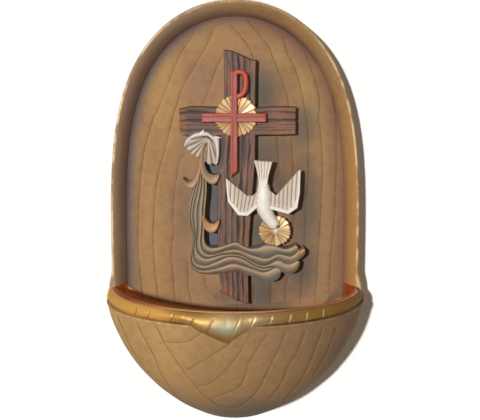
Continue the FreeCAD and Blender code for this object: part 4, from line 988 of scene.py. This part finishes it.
def cross_upright(colours):
    """The upright: its sides follow the two lines, its head is sawn on a slant, and its foot is
    split away to the left."""
    p, q = grid(64, 420)

    def sides(z):
        return np.interp(z, *zip(*UPRIGHT_LEFT)), np.interp(z, *zip(*UPRIGHT_RIGHT))

    left, right = sides(-9.9 + q * 123.6)
    nick = np.abs(ripple((left + (right - left) * p) * 2, 0, 6, 1))
    high = 113.9 - 4.6 * smooth_step(0.1, 1, p) - 0.4 * nick
    low = np.interp(p, [0, 0.15, 0.3, 0.45, 0.6, 0.8, 1], [-4.2, -4.9, -5.6, -7.0, -8.4, -9.2, -9.9])
    z = low + q * (high - low)
    left, right = sides(z)
    left = np.where(z < -3.5, -7.2, left)
    right = np.maximum(right, left + 1)
    x = left + (right - left) * p
    edge = np.minimum.reduce([x - left, right - x, z - low, high - z])
    across = (p - 0.5) * 17 + 0 * z
    cuts = wood_cuts(across, z, [(-6.7, 0.35, 0.5), (-3.7, 0.6, 0.95), (-0.6, 0.5, 0.9), (2.6, 0.75, 1.0),
                                 (5.4, 0.5, 0.95), (7.3, 0.3, 0.4)], 1.0)
    gouges = patches(across, z, [(-7.2, 66, 1.6, 11, 1), (3.2, 66, 1.7, 12, 1), (6.0, 100, 1.5, 9, 0.8)])
    fine = 0.4 * np.clip(ripple(across * 4, z * 0.22, 7, 5), 0, 1)
    warm = np.maximum(smooth_step(-0.2, 0.8, ripple(x, z * 0.5, 18, 3)) * 0.3,
                      0.6 * smooth_step(4, -3, z) * smooth_step(2, -4, x))
    grooves = np.maximum.reduce([cuts, 0.7 * gouges, fine])
    beam("cross_upright_carved", x, z, edge, grooves, warm, colours, "cross_upright")


def cross_arm(colours):
    """The arm: its left end is tucked in where the saw tore it."""
    p, q = grid(230, 56)
    start, end = -26.4, 29.0
    x = start + p * (end - start)
    low = np.interp(x, [-26.4, -24.8, -21.4, -6.2, 10, 21.4, 29], [75.2, 73.6, 73.3, 73.3, 73.7, 73.8, 74.1])
    high = np.interp(x, [-26.4, -21, -16.5, -9, 10.9, 16.6, 23.7, 29],
                     [86.0, 87.2, 87.2, 86.8, 86.6, 87, 87.2, 86.9])
    z = low + q * (high - low)
    tuck = np.clip(0.5 * ripple(0, z * 3, 8, 4), 0, 1)
    x = x + np.where(p < 0.1, (0.1 - p) * 10 * tuck, 0)
    edge = np.minimum.reduce([x - start, end - x, z - low, high - z])
    across = (q - 0.5) * 13.6 + 0 * x
    cuts = wood_cuts(across, x, [(-4.4, 0.7, 0.8), (-1.7, 0.35, 0.5), (0.4, 0.7, 0.95), (2.4, 0.35, 0.5),
                                 (4.4, 0.7, 0.95)], 7.0)
    gouges = patches(x, across, [(-20, 4.6, 6, 1.2, 1), (-14, 0.6, 7, 1.0, 1), (17, 0.4, 5, 1.1, 1),
                                 (-14, -4.8, 6, 1.4, 0.9), (15, -3.2, 8, 0.7, 0.7)])
    fine = 0.4 * np.clip(ripple(x * 0.22, across * 4, 7, 8), 0, 1)
    warm = np.maximum(smooth_step(-21, -27, x) * 0.8, 0.35 * smooth_step(10, 22, x))
    grooves = np.maximum.reduce([cuts, 0.7 * gouges, fine])
    beam("cross_arm_carved", x, z, edge, grooves, warm, colours, "cross_arm")


def pleated_disc(name, node, pleats, colours):
    """A thin disc folded into pleats that lie over one another like the blades of a fan: each
    falls from its fold to the step under the next one. Rings run from the middle out to a
    scalloped rim and back in."""
    low, high = corners(node)
    centre_x, centre_z = (low[0] + high[0]) / 2, (low[2] + high[2]) / 2
    radius = (high[2] - low[2]) / 2
    back, face = -high[1], -low[1]
    turn = turns(pleats * 16)
    wave = np.mod(turn * pleats / (2 * math.pi) + 0.35 * np.sin(3 * turn + 0.7) + 0.2 * np.sin(7 * turn), 1)
    slope = np.where(wave < 0.86, wave / 0.86, (1 - wave) / 0.14)
    rim = radius * (1 - 0.05 * slope - 0.03 * np.clip(np.sin(5 * turn + 1), 0, 1))
    front_rings = 26
    share = np.r_[np.linspace(0, 1, front_rings), 0.985, 0.6, 0.0][:, None]
    front = np.arange(len(share))[:, None] < front_rings
    x = centre_x + rim * share * np.cos(turn)
    z = centre_z + rim * share * np.sin(turn)
    open_share = smooth_step(0.03, 0.4, share)
    level = (face - (face - back) * 0.5 * slope * open_share - rounded((1 - share) * radius, 0.6) * 0.6
             - 0.2 * smooth_step(0.6, 0.0, share))
    # The falling face of each pleat is painted ochre: painted shade.
    fold = smooth_step(0.35, 0.9, slope) * open_share
    line = smooth_step(0.78, 0.9, wave) * smooth_step(0.0, 0.25, share)
    piece = skin(name, stand(x, np.where(front, level, back), z),
                 {"grain": np.where(front, line * 0.85, 0.3), "fold": np.where(front, fold, 0.5)}, 70)
    settle(piece, shared("pale_gold_paint", pale_gold, colours), node)


def bar(name, start, end, widths, low_level, high_level, slant=0.0):
    """A carved bar: a slab along a line with round edges and a shallow worn channel down its
    face. Its far end may be cut on a slant."""
    p, q = grid(30, 90, -1)
    start, end = np.array(start, float), np.array(end, float)
    run_length = np.linalg.norm(end - start)
    run = (end - start) / run_length
    half = (widths[0] + (widths[1] - widths[0]) * q) / 2 * (1 + 0.05 * ripple(q * 30, 0, 9, start[0]))
    along = q * (run_length + slant * p)
    x = start[0] + run[0] * along + run[1] * half * p
    z = start[1] + run[1] * along - run[0] * half * p
    edge = np.minimum(half * (1 - np.abs(p)), np.minimum(along, run_length + slant * p - along))
    streak = ripple(p * 9, q * 14, 8, start[0] + 2)
    channel = np.exp(-np.abs((p + 0.2 * streak) / 0.5) ** 3)
    front = high_level - rounded(edge, 0.6) - 0.25 * channel - 0.08 * streak
    worn = np.clip(0.25 * channel + 0.5 * smooth_step(0.35, 0.9, streak) * channel, 0, 1)
    warm = 0.55 * smooth_step(0.75, 0.35, edge) + 0.3 * smooth_step(0.86, 1.0, q)
    return slab(name, x, z, front, low_level, {"grain": (worn, 0.4), "warm": (warm, 0)})


def rho_cross(colours):
    """Stem, bar and loop of the red cross with the rho loop at its head."""
    low, high = CROSS - 0.6, 14.55
    stem = bar("rho_stem", (-0.45, 104.7), (-0.45, 55.6), (3.1, 3.3), low, high, 1.3)
    cross_bar = bar("rho_bar", (-15.6, 82.5), (14.8, 82.5), (4.2, 4.0), low, high - 0.35)
    loop = flow([(0.2, 104.0), (2.4, 104.1), (4.4, 103.2), (5.1, 100.6), (5.0, 97.2), (4.2, 94.6),
                 (2.6, 93.2), (0.4, 92.2)], 60)
    ring = swept("rho_loop", loop, 1.15, 1.1, high - 1.25, {"grain": 0.0, "warm": 0.85})
    piece = joined("rho_cross_carved", [stem, cross_bar, ring])
    settle(piece, red_paint(colours), "rho_cross")


# The shell: where its ribs end, as angles round the hinge and reaches from it, and its white rim.
SHELL_HINGE = (-12.65, 72.7)
SHELL_TURNS = (172, 183, 192, 199.4, 213.8, 226.6, 234.9, 250.2, 264.1, 272, 279.5, 287.7, 293, 303, 316)
SHELL_REACHES = (4.6, 8.2, 10.4, 12.0, 11.1, 11.3, 10.5, 11.4, 12.2, 12.8, 13.0, 13.6, 9.8, 6.6, 4.0)
SHELL_RIM_OUT = [(-24.3, 68.8), (-23.6, 71.0), (-22.5, 72.5), (-19.5, 74.7), (-16.5, 75.5), (-15.0, 75.8),
                 (-12.7, 75.4), (-10.5, 73.9), (-8.6, 73.2), (-7.4, 72.2), (-7.3, 68.7), (-7.4, 64.3),
                 (-8.0, 60.6)]
SHELL_RIM_IN = [(-23.4, 68.7), (-22.2, 70.3), (-20.0, 72.3), (-16.5, 73.2), (-13.1, 73.3), (-11.4, 72.2),
                (-10.1, 70.2), (-9.3, 67.6), (-9.0, 64.3), (-9.2, 60.6)]
SHELL_TIPS = [[(-16.2, 74.6, 0.9), (-15.2, 75.8, 0.5), (-14.8, 76.8, 0.12)],
              [(-9.6, 73.0, 0.8), (-8.0, 72.9, 0.5), (-6.5, 72.7, 0.12)]]
UNPAINTED = {"grain": 0.0, "dusk": 0.0, "tan": 0.0}


def scallop_shell(colours):
    """The shell: ribs that fan out and down from the hinge, and a rolled white rim over the top."""
    p, q = grid(200, 44)
    degrees = SHELL_TURNS[0] + p * (SHELL_TURNS[-1] - SHELL_TURNS[0])
    rib = (degrees - 186) / 15.4 + 0.12 * np.sin(degrees / 9)
    ribs = np.abs(np.sin(math.pi * rib)) * (degrees > 186) * (degrees < 294)
    reach = np.interp(degrees, SHELL_TURNS, SHELL_REACHES) * (0.97 + 0.05 * ribs) * (0.05 + 0.95 * q)
    x = SHELL_HINGE[0] + reach * np.cos(np.radians(degrees))
    z = SHELL_HINGE[1] + reach * np.sin(np.radians(degrees))
    front = CROSS - 0.3 + 1.3 * np.sin(q * math.pi * 0.6) - rounded((1 - q) * 12, 0.8)
    front = np.minimum(front + 0.7 * (ribs ** 0.6 - 0.5) * smooth_step(0.05, 0.6, q), 13.0)
    # Grey between the ribs: painted shade.
    valley = (1 - smooth_step(0.2, 0.75, ribs)) * smooth_step(0.02, 0.25, q) * 0.9
    tan = 0.75 + 0.2 * smooth_step(0.35, 0.75, np.mod(rib, 1)) * smooth_step(1.1, 0.7, q)
    painted = {"grain": (0, 0.5), "dusk": (valley, 0.5), "tan": (tan, 0)}
    fan = slab("shell_fan", x, z, front, ON_FIELD, painted)
    x, z, u, width = ribbon(SHELL_RIM_OUT, SHELL_RIM_IN, 200, 17)
    dome = np.sin(math.pi * u) ** 0.6
    front = CROSS + 0.7 + 1.15 * dome - 0.35 * smooth_step(1.9, 1.0, width)
    # The rim is painted greyer away from its crest: painted shade.
    painted = {"grain": (0, 0), "dusk": (0.15 + 0.5 * (1 - dome), 0),
               "tan": (0.15 + 0.25 * smooth_step(0.6, 1.0, u), 0)}
    rim = slab("shell_rim", x, z, front, FIELD, painted)
    tips = []
    for number, route in enumerate(SHELL_TIPS):
        line = flow(route, 20)
        tips.append(swept("shell_tip_%d" % number, line, line[:, 2], line[:, 2], CROSS + 1.0, UNPAINTED))
    piece = joined("scallop_shell_carved", [fan, rim] + tips)
    settle(piece, white_paint(colours), "scallop_shell")


# The lines between the locks of the water, from the upper right side to the lower left one.
WATER_LINES = [
    [(-13.9, 66.6), (-14.6, 60.8), (-14.6, 57.3), (-14.0, 53.3), (-13.4, 50.2), (-13.6, 44.5),
     (-14.1, 40.1), (-14.4, 35.3), (-14.5, 30.4), (-14.8, 25.6), (-14.5, 22.1), (-13.2, 20.0),
     (-10.8, 19.1), (-7.4, 19.6), (-4.0, 20.7), (-0.5, 21.9), (1.4, 21.7), (3.8, 20.3), (6.8, 19.0),
     (9.8, 18.9), (12.4, 19.6), (14.9, 20.5), (19.2, 20.1), (22.2, 19.0), (25.2, 18.7), (27.8, 19.6),
     (29.5, 20.3), (30.4, 19.4)],
    [(-14.5, 66.6), (-15.3, 61.2), (-15.3, 57.3), (-14.9, 53.3), (-14.7, 50.2), (-14.9, 44.5),
     (-15.4, 40.1), (-15.7, 35.3), (-15.9, 30.4), (-16.3, 25.6), (-16.5, 22.1), (-15.8, 18.4),
     (-13.7, 16.2), (-10.8, 15.9), (-7.4, 16.8), (-4.0, 17.9), (-0.5, 18.4), (2.0, 18.1), (4.6, 17.1),
     (7.6, 15.9), (11.5, 14.7), (14.1, 14.0), (16.7, 14.3), (19.2, 15.6), (21.8, 16.1), (24.4, 15.5),
     (27.0, 15.0), (29.1, 16.1), (30.3, 17.7), (30.5, 18.7)],
    [(-15.0, 66.6), (-15.9, 61.7), (-16.0, 57.3), (-16.0, 52.9), (-16.1, 49.4), (-17.2, 43.2),
     (-18.0, 38.8), (-18.2, 34.4), (-18.2, 30.0), (-18.4, 25.6), (-18.8, 21.2), (-18.2, 17.4),
     (-16.2, 14.9), (-13.4, 13.9), (-10.0, 14.7), (-7.0, 15.6), (-3.1, 15.9), (0.3, 16.0), (3.8, 15.2),
     (6.3, 13.5), (8.9, 12.1), (11.5, 10.8), (14.5, 10.4), (17.5, 11.5), (19.7, 12.8), (21.8, 13.0),
     (24.4, 11.5), (27.0, 11.3), (30.0, 12.6), (32.5, 14.4), (34.0, 16.1), (33.8, 17.7)],
    [(-15.4, 66.6), (-16.3, 61.9), (-16.6, 57.3), (-16.9, 52.9), (-17.6, 49.4), (-19.1, 43.2),
     (-20.0, 38.8), (-20.3, 34.4), (-19.9, 30.0), (-19.3, 25.6), (-19.6, 21.2), (-20.2, 16.8),
     (-20.0, 14.0), (-18.9, 11.9), (-16.9, 10.8), (-13.8, 10.4), (-10.8, 11.5), (-7.8, 12.8),
     (-4.8, 14.3), (-1.8, 14.8), (1.2, 14.6), (4.6, 13.3), (7.6, 11.3), (10.6, 9.7), (13.6, 9.0),
     (16.2, 9.2), (18.4, 9.5), (20.5, 8.6), (22.7, 7.1), (24.8, 6.3), (27.8, 6.4), (30.0, 7.8),
     (31.2, 10.2), (31.3, 11.7)],
    [(-15.8, 66.6), (-16.8, 62.1), (-17.3, 57.3), (-17.9, 52.9), (-18.7, 49.4), (-20.4, 43.2),
     (-21.2, 38.8), (-21.6, 34.4), (-21.0, 30.0), (-19.9, 25.6), (-20.2, 21.2), (-20.7, 16.8),
     (-21.2, 13.8), (-20.7, 11.0), (-19.0, 8.9), (-16.2, 8.0), (-13.0, 8.0), (-10.0, 8.6), (-7.0, 9.5),
     (-3.5, 10.8), (-0.5, 11.3), (2.9, 10.6), (6.3, 9.5), (10.2, 8.1), (13.2, 7.2), (15.8, 7.5),
     (17.9, 8.6), (19.9, 9.4), (21.4, 9.0), (22.2, 7.5)],
    [(-16.2, 66.6), (-17.3, 62.1), (-17.9, 57.3), (-18.6, 52.9), (-19.7, 49.4), (-21.3, 44.5),
     (-22.3, 40.1), (-22.7, 35.7), (-22.3, 31.3), (-20.9, 26.9), (-20.5, 22.5), (-21.0, 18.1),
     (-21.9, 12.9), (-21.2, 9.7), (-19.9, 7.8), (-16.9, 6.2), (-13.4, 5.8), (-9.1, 6.2), (-5.7, 6.2),
     (-2.2, 6.9), (1.6, 7.1), (4.6, 6.0), (8.1, 4.7), (11.5, 3.4), (14.5, 2.3), (17.5, 2.0), (20.1, 2.9),
     (21.8, 4.7), (22.4, 6.4)],
]
CURL = [(31.3, 17.7), (32.5, 18.5), (33.5, 18.7), (33.8, 17.9)]
# The hooks that curl away from the fall: inner and outer line of each.
WATER_HOOKS = [
    ([(-13.4, 70.2), (-14.0, 68.3), (-14.4, 65.4), (-14.6, 61.9), (-14.1, 58.6), (-12.8, 56.0),
      (-10.8, 54.8), (-9.0, 54.9), (-7.7, 55.6)],
     [(-14.2, 70.4), (-15.2, 68.8), (-16.4, 64.5), (-16.7, 59.2), (-15.6, 54.4), (-13.1, 51.2),
      (-10.5, 50.2), (-8.5, 51.4), (-7.4, 54.4)]),
    ([(-14.6, 37.0), (-14.2, 33.4), (-12.2, 31.2), (-10.1, 30.9), (-8.4, 32.1), (-7.7, 33.2)],
     [(-16.0, 34.5), (-15.0, 29.2), (-12.6, 26.7), (-10.1, 26.7), (-8.4, 28.6), (-7.4, 32.2)]),
    ([(-17.5, 63.0), (-17.7, 59.0), (-18.8, 55.5), (-20.3, 52.3), (-21.9, 51.2), (-23.2, 51.7),
      (-24.6, 53.1)],
     [(-16.2, 63.0), (-16.3, 57.3), (-17.3, 52.9), (-18.8, 49.6), (-20.8, 48.1), (-22.6, 48.8),
      (-24.2, 50.6), (-25.0, 52.7)]),
]


def lock(name, upper, lower, crest_level, valley, rows, amber=0.0):
    """A lock of the water: a crest along its upper side that falls in a long hollow to the next
    lock, with a faint second crest where it is wide. Crests are wiped pale, hollows stay slate."""
    x, z, u, width = ribbon(upper, lower, rows, 25)
    wide = smooth_step(2.2, 3.4, width)
    along = np.linspace(0, 60, rows)[:, None]
    bend = np.clip(u + 0.06 * ripple(along, 0, 19, crest_level) * np.sin(math.pi * u), 0, 1)
    crest = np.sin(math.pi * bend ** 0.55)
    second = 0.6 * bell(bend - 0.76, 0.08) * wide * (0.6 + 0.4 * ripple(along, 0, 33, 2 * crest_level))
    height = np.clip(crest + 0.35 * second, 0, 1) * np.minimum(1, width / 1.1) ** 0.5
    far = 0.66 - 0.14 * wide
    paint = np.maximum(smooth_step(0.0, 0.12, bend) * smooth_step(far + 0.16, far - 0.16, bend), 0.4 * second)
    plum = smooth_step(0.5, 0.85, bend) * wide * bell(x + 2.5, 6) * 0.8
    amber = np.maximum(amber, 0.6 * smooth_step(26, 30, x) * smooth_step(0.3, 0.6, 1 - bend))
    return slab(name, x, z, crest_level - valley * (1 - height), ON_FIELD,
                {"crest": (paint, 0), "plum": (plum, 0.2), "amber": (amber, 0)})


def water_stream(colours):
    """The water: five locks side by side that leave the shell, fall and swing to the right, and
    three hooks that curl away from them."""
    lines = WATER_LINES
    ends = [(lines[0], lines[1]), (lines[1] + CURL, lines[2]), (lines[2][:-3] + [(31.3, 12.2)], lines[3]),
            (lines[3][:27] + [(20.0, 9.2)], lines[4][:27] + [(19.6, 9.0)]), (lines[4], lines[5])]
    locks = [lock("lock_%d" % number, upper, lower, level, 0.85, 320)
             for number, ((upper, lower), level) in enumerate(zip(ends, (12.6, 12.9, 13.05, 12.9, 12.7)))]
    for number, ((inner, outer), amber) in enumerate(zip(WATER_HOOKS, (0.3, 0.9, 0.45))):
        locks.append(lock("hook_%d" % number, outer, inner, 13.1, 0.9, 110, amber))
    piece = joined("water_stream_carved", locks)
    settle(piece, water_glaze(colours), "water_stream")


LEFT_LOW = [(-4.3, 53.4), (-3.9, 46.5), (-3.4, 42.0), (1.5, 35.3), (6.2, 35.0), (10.6, 39.0)]
LEFT_HIGH = [(-4.2, 53.5), (-3.6, 52.9), (6.0, 44.8), (8.4, 44.7), (11.0, 47.0)]
RIGHT_LOW = [(31.3, 57.2), (31.1, 46.5), (30.0, 38.9), (25.6, 35.9), (18.2, 38.0), (14.6, 39.0)]
RIGHT_HIGH = [(31.0, 57.3), (30.2, 56.8), (19.9, 44.9), (17.8, 46.5), (14.6, 48.5)]
TAIL_LEFT = [(11.4, 50.0), (10.9, 54.0), (10.2, 57.6), (8.9, 62.0)]
TAIL_RIGHT = [(15.3, 50.0), (16.1, 54.6), (17.2, 58.6), (18.0, 61.4)]


def wing(name, low_line, high_line, lean, level):
    """A wing between its leading and its trailing edge: a plain white band along the leading
    edge, then feathers parted by cuts that run almost upright and lean where lean says."""
    x, z = ribbon(low_line, high_line, 130, 80, False)[:2]
    lead = off_line(x, z, flow(low_line, 60, False))
    trail = off_line(x, z, flow(high_line, 60, False))
    band = 1.1 + 0.9 * smooth_step(46, 38, z) + 0.15 * ripple(x, z, 7)
    behind = smooth_step(band - 0.2, band + 0.2, lead)
    ridge = np.abs(np.sin(math.pi * (x - np.interp(x, *lean) * (z - 45)) / 1.95 + 0.35))
    front = level + 0.55 * (1 - behind) + 0.5 * behind * (smooth_step(0, 0.6, ridge) - 0.5)
    front = front - rounded(np.minimum(lead, trail), 0.5)
    grain = np.maximum((1 - smooth_step(0.15, 0.5, ridge)) * behind, 0.5 * bell(lead - band, 0.25))
    tan = 0.4 * behind * smooth_step(1.2, 4.5, lead)
    # The feathered part is painted greyer than the leading band: painted shade.
    painted = {"grain": (grain, 0.3), "dusk": (0.24 * behind, 0), "tan": (tan, 0)}
    return slab(name, x, z, front, ON_CROSS, painted)


def dove(colours):
    """The diving dove: a full rounded body, two wings and a fan tail. Its eye is painted by dove_eye."""
    level = CROSS + 2.0
    left = wing("dove_left", LEFT_LOW, LEFT_HIGH, ([-4, 11], [0.0, 0.3]), level)
    right = wing("dove_right", RIGHT_LOW, RIGHT_HIGH, ([14, 31], [0.0, 0.05]), level)
    x, z, u, _ = ribbon(TAIL_LEFT, TAIL_RIGHT, 60, 60, False)
    p = np.linspace(0, 1, 60)[:, None]
    ridge = np.abs(np.sin(u * math.pi * 5))
    front = level + 0.9 - 0.5 * p + 0.45 * ridge * smooth_step(0.1, 0.4, p)
    front = front - rounded(np.minimum(u, 1 - u) * 6, 0.5) - rounded((1 - p) * 11, 0.4)
    grain = (1 - smooth_step(0.15, 0.45, ridge)) * smooth_step(0.1, 0.4, p) * 0.9
    painted = {"grain": (grain, 0.3), "dusk": (0, 0), "tan": (0.3 * p, 0)}
    tail = slab("dove_tail", x, z, front, ON_CROSS, painted)
    # The line of the body with its half width, from the tail to the beak.
    spine = flow([(13.4, 55.0, 1.7), (13.5, 51.0, 2.4), (13.8, 46.5, 3.3), (13.8, 42.0, 3.9),
                  (14.2, 38.2, 3.8), (15.8, 34.8, 3.4), (17.5, 32.2, 3.0), (18.9, 30.4, 2.7),
                  (19.7, 29.2, 2.0), (20.0, 28.5, 0.7)], 110)
    rise = np.interp(spine[:, 2], [0.2, 1.2, 2.4, 3.8], [0.5, 1.6, 2.7, 3.9])
    body = swept("dove_body", spine, spine[:, 2], rise, CROSS + 0.02, UNPAINTED, 24)
    piece = joined("dove_carved", [tail, left, right, body])
    settle(piece, shared("white_ground_paint", white_paint, colours), "dove")


def dove_eye():
    """The eye: a small flat bead."""
    turn = turns(20)
    share = np.linspace(0, 1, 8)[:, None]
    centre_x, centre_z, level, radius, half_height = 20.3, 30.0, CROSS + 2.5, 0.55, 0.25
    out = radius * np.sin(share * math.pi)
    eye = skin("dove_eye", stand(centre_x + out * np.cos(turn), level + half_height * np.cos(share * math.pi),
                                 centre_z + out * np.sin(turn)))
    eye.data.materials.append(eye_paint())
    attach(eye, "root")


# -------------------------------------------------------------------- stage

# The view of the object: straight on, a little from above.
VIEW_TARGET = (2.4, -5.5, 36.36)
VIEW_ELEVATION = 12.0
VIEW_DISTANCE = 620.0
VIEW_LENS = 95.79
KEY_AZIMUTH = 18.5             # how far left of the view the light stands
KEY_ELEVATION = 14.4


def wall():
    """The wall behind the part. It is white to the camera from the front, and clear to all other
    rays and from behind, so it throws no light on the part and hides nothing."""
    wide, back = 3.0, 0.0006
    mesh = bpy.data.meshes.new("wall")
    mesh.from_pydata([(x, back, z) for x, z in ((-wide, -wide), (wide, -wide), (wide, wide), (-wide, wide))],
                     [], [(0, 1, 2, 3)])
    item = bpy.data.objects.new("wall", mesh)
    bpy.context.scene.collection.objects.link(item)
    material = bpy.data.materials.new("white_wall")
    tree = node_tree(material)
    rays = add(tree, "ShaderNodeLightPath")
    faces = add(tree, "ShaderNodeNewGeometry")
    both = {0: rays.outputs["Is Camera Ray"], 1: faces.outputs["Backfacing"]}
    seen = add(tree, "ShaderNodeMath", both, operation="SUBTRACT").outputs[0]
    shown = add(tree, "ShaderNodeMath", {0: seen, 1: 0.5}, operation="GREATER_THAN").outputs[0]
    paint = add(tree, "ShaderNodeBsdfDiffuse", {"Color": (0.96, 0.975, 1.0, 1)}).outputs["BSDF"]
    clear = add(tree, "ShaderNodeBsdfTransparent").outputs["BSDF"]
    mix = add(tree, "ShaderNodeMixShader", {"Fac": shown, 1: clear, 2: paint}).outputs["Shader"]
    add(tree, "ShaderNodeOutputMaterial", {"Surface": mix})
    mesh.materials.append(material)


def sun(name, azimuth, elevation, angle, strength):
    """A sun that stands left of the view by its azimuth, and above level by its elevation."""
    light = bpy.data.lights.new(name, "SUN")
    light.energy = strength
    light.angle = math.radians(angle)
    item = bpy.data.objects.new(name, light)
    side, rise = math.radians(azimuth), math.radians(elevation)
    ray = Vector((math.sin(side) * math.cos(rise), math.cos(side) * math.cos(rise), -math.sin(rise)))
    item.rotation_euler = ray.to_track_quat("-Z", "Y").to_euler()
    bpy.context.scene.collection.objects.link(item)


def room():
    """The world: plain white where it is seen or mirrored, and a dim warm light on the part."""
    world = bpy.data.worlds.new("studio")
    bpy.context.scene.world = world
    tree = node_tree(world)
    rays = add(tree, "ShaderNodeLightPath")
    direct = rays.outputs["Is Camera Ray"]
    for ray in ("Is Transmission Ray", "Is Glossy Ray"):
        both = {0: direct, 1: rays.outputs[ray]}
        direct = add(tree, "ShaderNodeMath", both, operation="MAXIMUM").outputs[0]
    soft = add(tree, "ShaderNodeBackground", {"Color": (1.0, 0.78, 0.56, 1), "Strength": 0.2})
    plain = add(tree, "ShaderNodeBackground", {"Color": (1, 1, 1, 1), "Strength": 1.0})
    mix = add(tree, "ShaderNodeMixShader", {"Fac": direct, 1: soft.outputs["Background"],
                                            2: plain.outputs["Background"]}).outputs["Shader"]
    add(tree, "ShaderNodeOutputWorld", {"Surface": mix})


def stage():
    """The wall, a light from the left, a weak one from behind, the room and the camera."""
    scene = bpy.context.scene
    scene.view_settings.view_transform = "Standard"
    wall()
    sun("key_light", KEY_AZIMUTH, KEY_ELEVATION, 2.5, 3.05)
    sun("back_light", 180, 12, 20, 1.6)
    room()
    camera = bpy.data.objects.new("camera", bpy.data.cameras.new("camera"))
    camera.data.lens = VIEW_LENS
    camera.data.sensor_width = 36.0
    camera.data.clip_start = 0.01
    rise = math.radians(VIEW_ELEVATION)
    target = Vector(VIEW_TARGET) * MM
    camera.location = target + Vector((0, -math.cos(rise), math.sin(rise))) * VIEW_DISTANCE * MM
    camera.rotation_euler = (target - camera.location).to_track_quat("-Z", "Y").to_euler()
    scene.collection.objects.link(camera)
    scene.camera = camera


# ---------------------------------------------------------------- operators

class STOUP_OT_board(bpy.types.Operator):
    """Carves the niche board with its hollow, grain lines and gilded edge"""
    bl_idname = "stoup.board"
    bl_label = "Niche board"

    def execute(self, context):
        niche_board(context.scene.stoup_sizes, context.scene.stoup_colours)
        return {"FINISHED"}


class STOUP_OT_bowl(bpy.types.Operator):
    """Carves the half bowl with its grain lines"""
    bl_idname = "stoup.bowl"
    bl_label = "Bowl"

    def execute(self, context):
        wooden_bowl(context.scene.stoup_sizes, context.scene.stoup_colours)
        return {"FINISHED"}


class STOUP_OT_bead(bpy.types.Operator):
    """Carves the gilded bead with the leaf below it"""
    bl_idname = "stoup.bead"
    bl_label = "Rim bead"

    def execute(self, context):
        gilded_bead(context.scene.stoup_sizes, context.scene.stoup_colours)
        return {"FINISHED"}


class STOUP_OT_liner(bpy.types.Operator):
    """Presses the copper-coloured liner of the basin"""
    bl_idname = "stoup.liner"
    bl_label = "Liner"

    def execute(self, context):
        copper_liner(context.scene.stoup_sizes, context.scene.stoup_colours)
        return {"FINISHED"}


class STOUP_OT_cross(bpy.types.Operator):
    """Splits and carves the two beams of the cross"""
    bl_idname = "stoup.cross"
    bl_label = "Cross"

    def execute(self, context):
        colours = context.scene.stoup_colours
        cross_upright(colours)
        cross_arm(colours)
        return {"FINISHED"}


class STOUP_OT_discs(bpy.types.Operator):
    """Folds the two pleated discs"""
    bl_idname = "stoup.discs"
    bl_label = "Pleated discs"

    def execute(self, context):
        sizes, colours = context.scene.stoup_sizes, context.scene.stoup_colours
        pleated_disc("upper_host_pleated", "upper_host", sizes.pleats, colours)
        pleated_disc("lower_host_pleated", "lower_host", sizes.pleats - 3, colours)
        return {"FINISHED"}


class STOUP_OT_rho(bpy.types.Operator):
    """Carves the red cross with the loop at its head"""
    bl_idname = "stoup.rho"
    bl_label = "Rho cross"

    def execute(self, context):
        rho_cross(context.scene.stoup_colours)
        return {"FINISHED"}


class STOUP_OT_shell(bpy.types.Operator):
    """Carves the scallop shell"""
    bl_idname = "stoup.shell"
    bl_label = "Shell"

    def execute(self, context):
        scallop_shell(context.scene.stoup_colours)
        return {"FINISHED"}


class STOUP_OT_water(bpy.types.Operator):
    """Carves the stream of water"""
    bl_idname = "stoup.water"
    bl_label = "Water"

    def execute(self, context):
        water_stream(context.scene.stoup_colours)
        return {"FINISHED"}


class STOUP_OT_dove(bpy.types.Operator):
    """Carves the dove and paints its eye"""
    bl_idname = "stoup.dove"
    bl_label = "Dove"

    def execute(self, context):
        dove(context.scene.stoup_colours)
        dove_eye()
        return {"FINISHED"}


class STOUP_OT_fittings(bpy.types.Operator):
    """Gives pegs, dowels, screws and the hanger plate their materials"""
    bl_idname = "stoup.fittings"
    bl_label = "Fittings"

    def execute(self, context):
        wood, steel = beech(), zinc_steel()
        for node in ("cross_pins", "dove_peg", "host_peg", "bowl_dowels"):
            repaint(node, wood)
        for node in ("bowl_screws", "hanger_screws", "hanger_plate"):
            repaint(node, steel)
        return {"FINISHED"}


class STOUP_OT_stage(bpy.types.Operator):
    """Sets up the wall, the lamps and the camera"""
    bl_idname = "stoup.stage"
    bl_label = "Stage"

    def execute(self, context):
        stage()
        return {"FINISHED"}


STEPS = (STOUP_OT_board, STOUP_OT_bowl, STOUP_OT_bead, STOUP_OT_liner, STOUP_OT_cross, STOUP_OT_discs,
         STOUP_OT_rho, STOUP_OT_shell, STOUP_OT_water, STOUP_OT_dove, STOUP_OT_fittings, STOUP_OT_stage)


class STOUP_PT_panel(bpy.types.Panel):
    """Lists the sizes, the colours and the steps"""
    bl_label = "Holy water stoup"
    bl_idname = "STOUP_PT_panel"
    bl_space_type = "VIEW_3D"
    bl_region_type = "UI"
    bl_category = "Stoup"

    def draw(self, context):
        for group in (context.scene.stoup_sizes, context.scene.stoup_colours):
            for name in group.__annotations__:
                self.layout.prop(group, name)
        for step in STEPS:
            self.layout.operator(step.bl_idname)


CLASSES = (STOUP_PG_sizes, STOUP_PG_colours) + STEPS + (STOUP_PT_panel,)


def register():
    for item in CLASSES:
        bpy.utils.register_class(item)
    bpy.types.Scene.stoup_sizes = PointerProperty(type=STOUP_PG_sizes)
    bpy.types.Scene.stoup_colours = PointerProperty(type=STOUP_PG_colours)


def unregister():
    del bpy.types.Scene.stoup_colours
    del bpy.types.Scene.stoup_sizes
    for item in reversed(CLASSES):
        bpy.utils.unregister_class(item)


def main():
    register()
    for step in STEPS:
        getattr(bpy.ops.stoup, step.bl_idname.split(".")[1])()


if __name__ == "__main__":
    main()
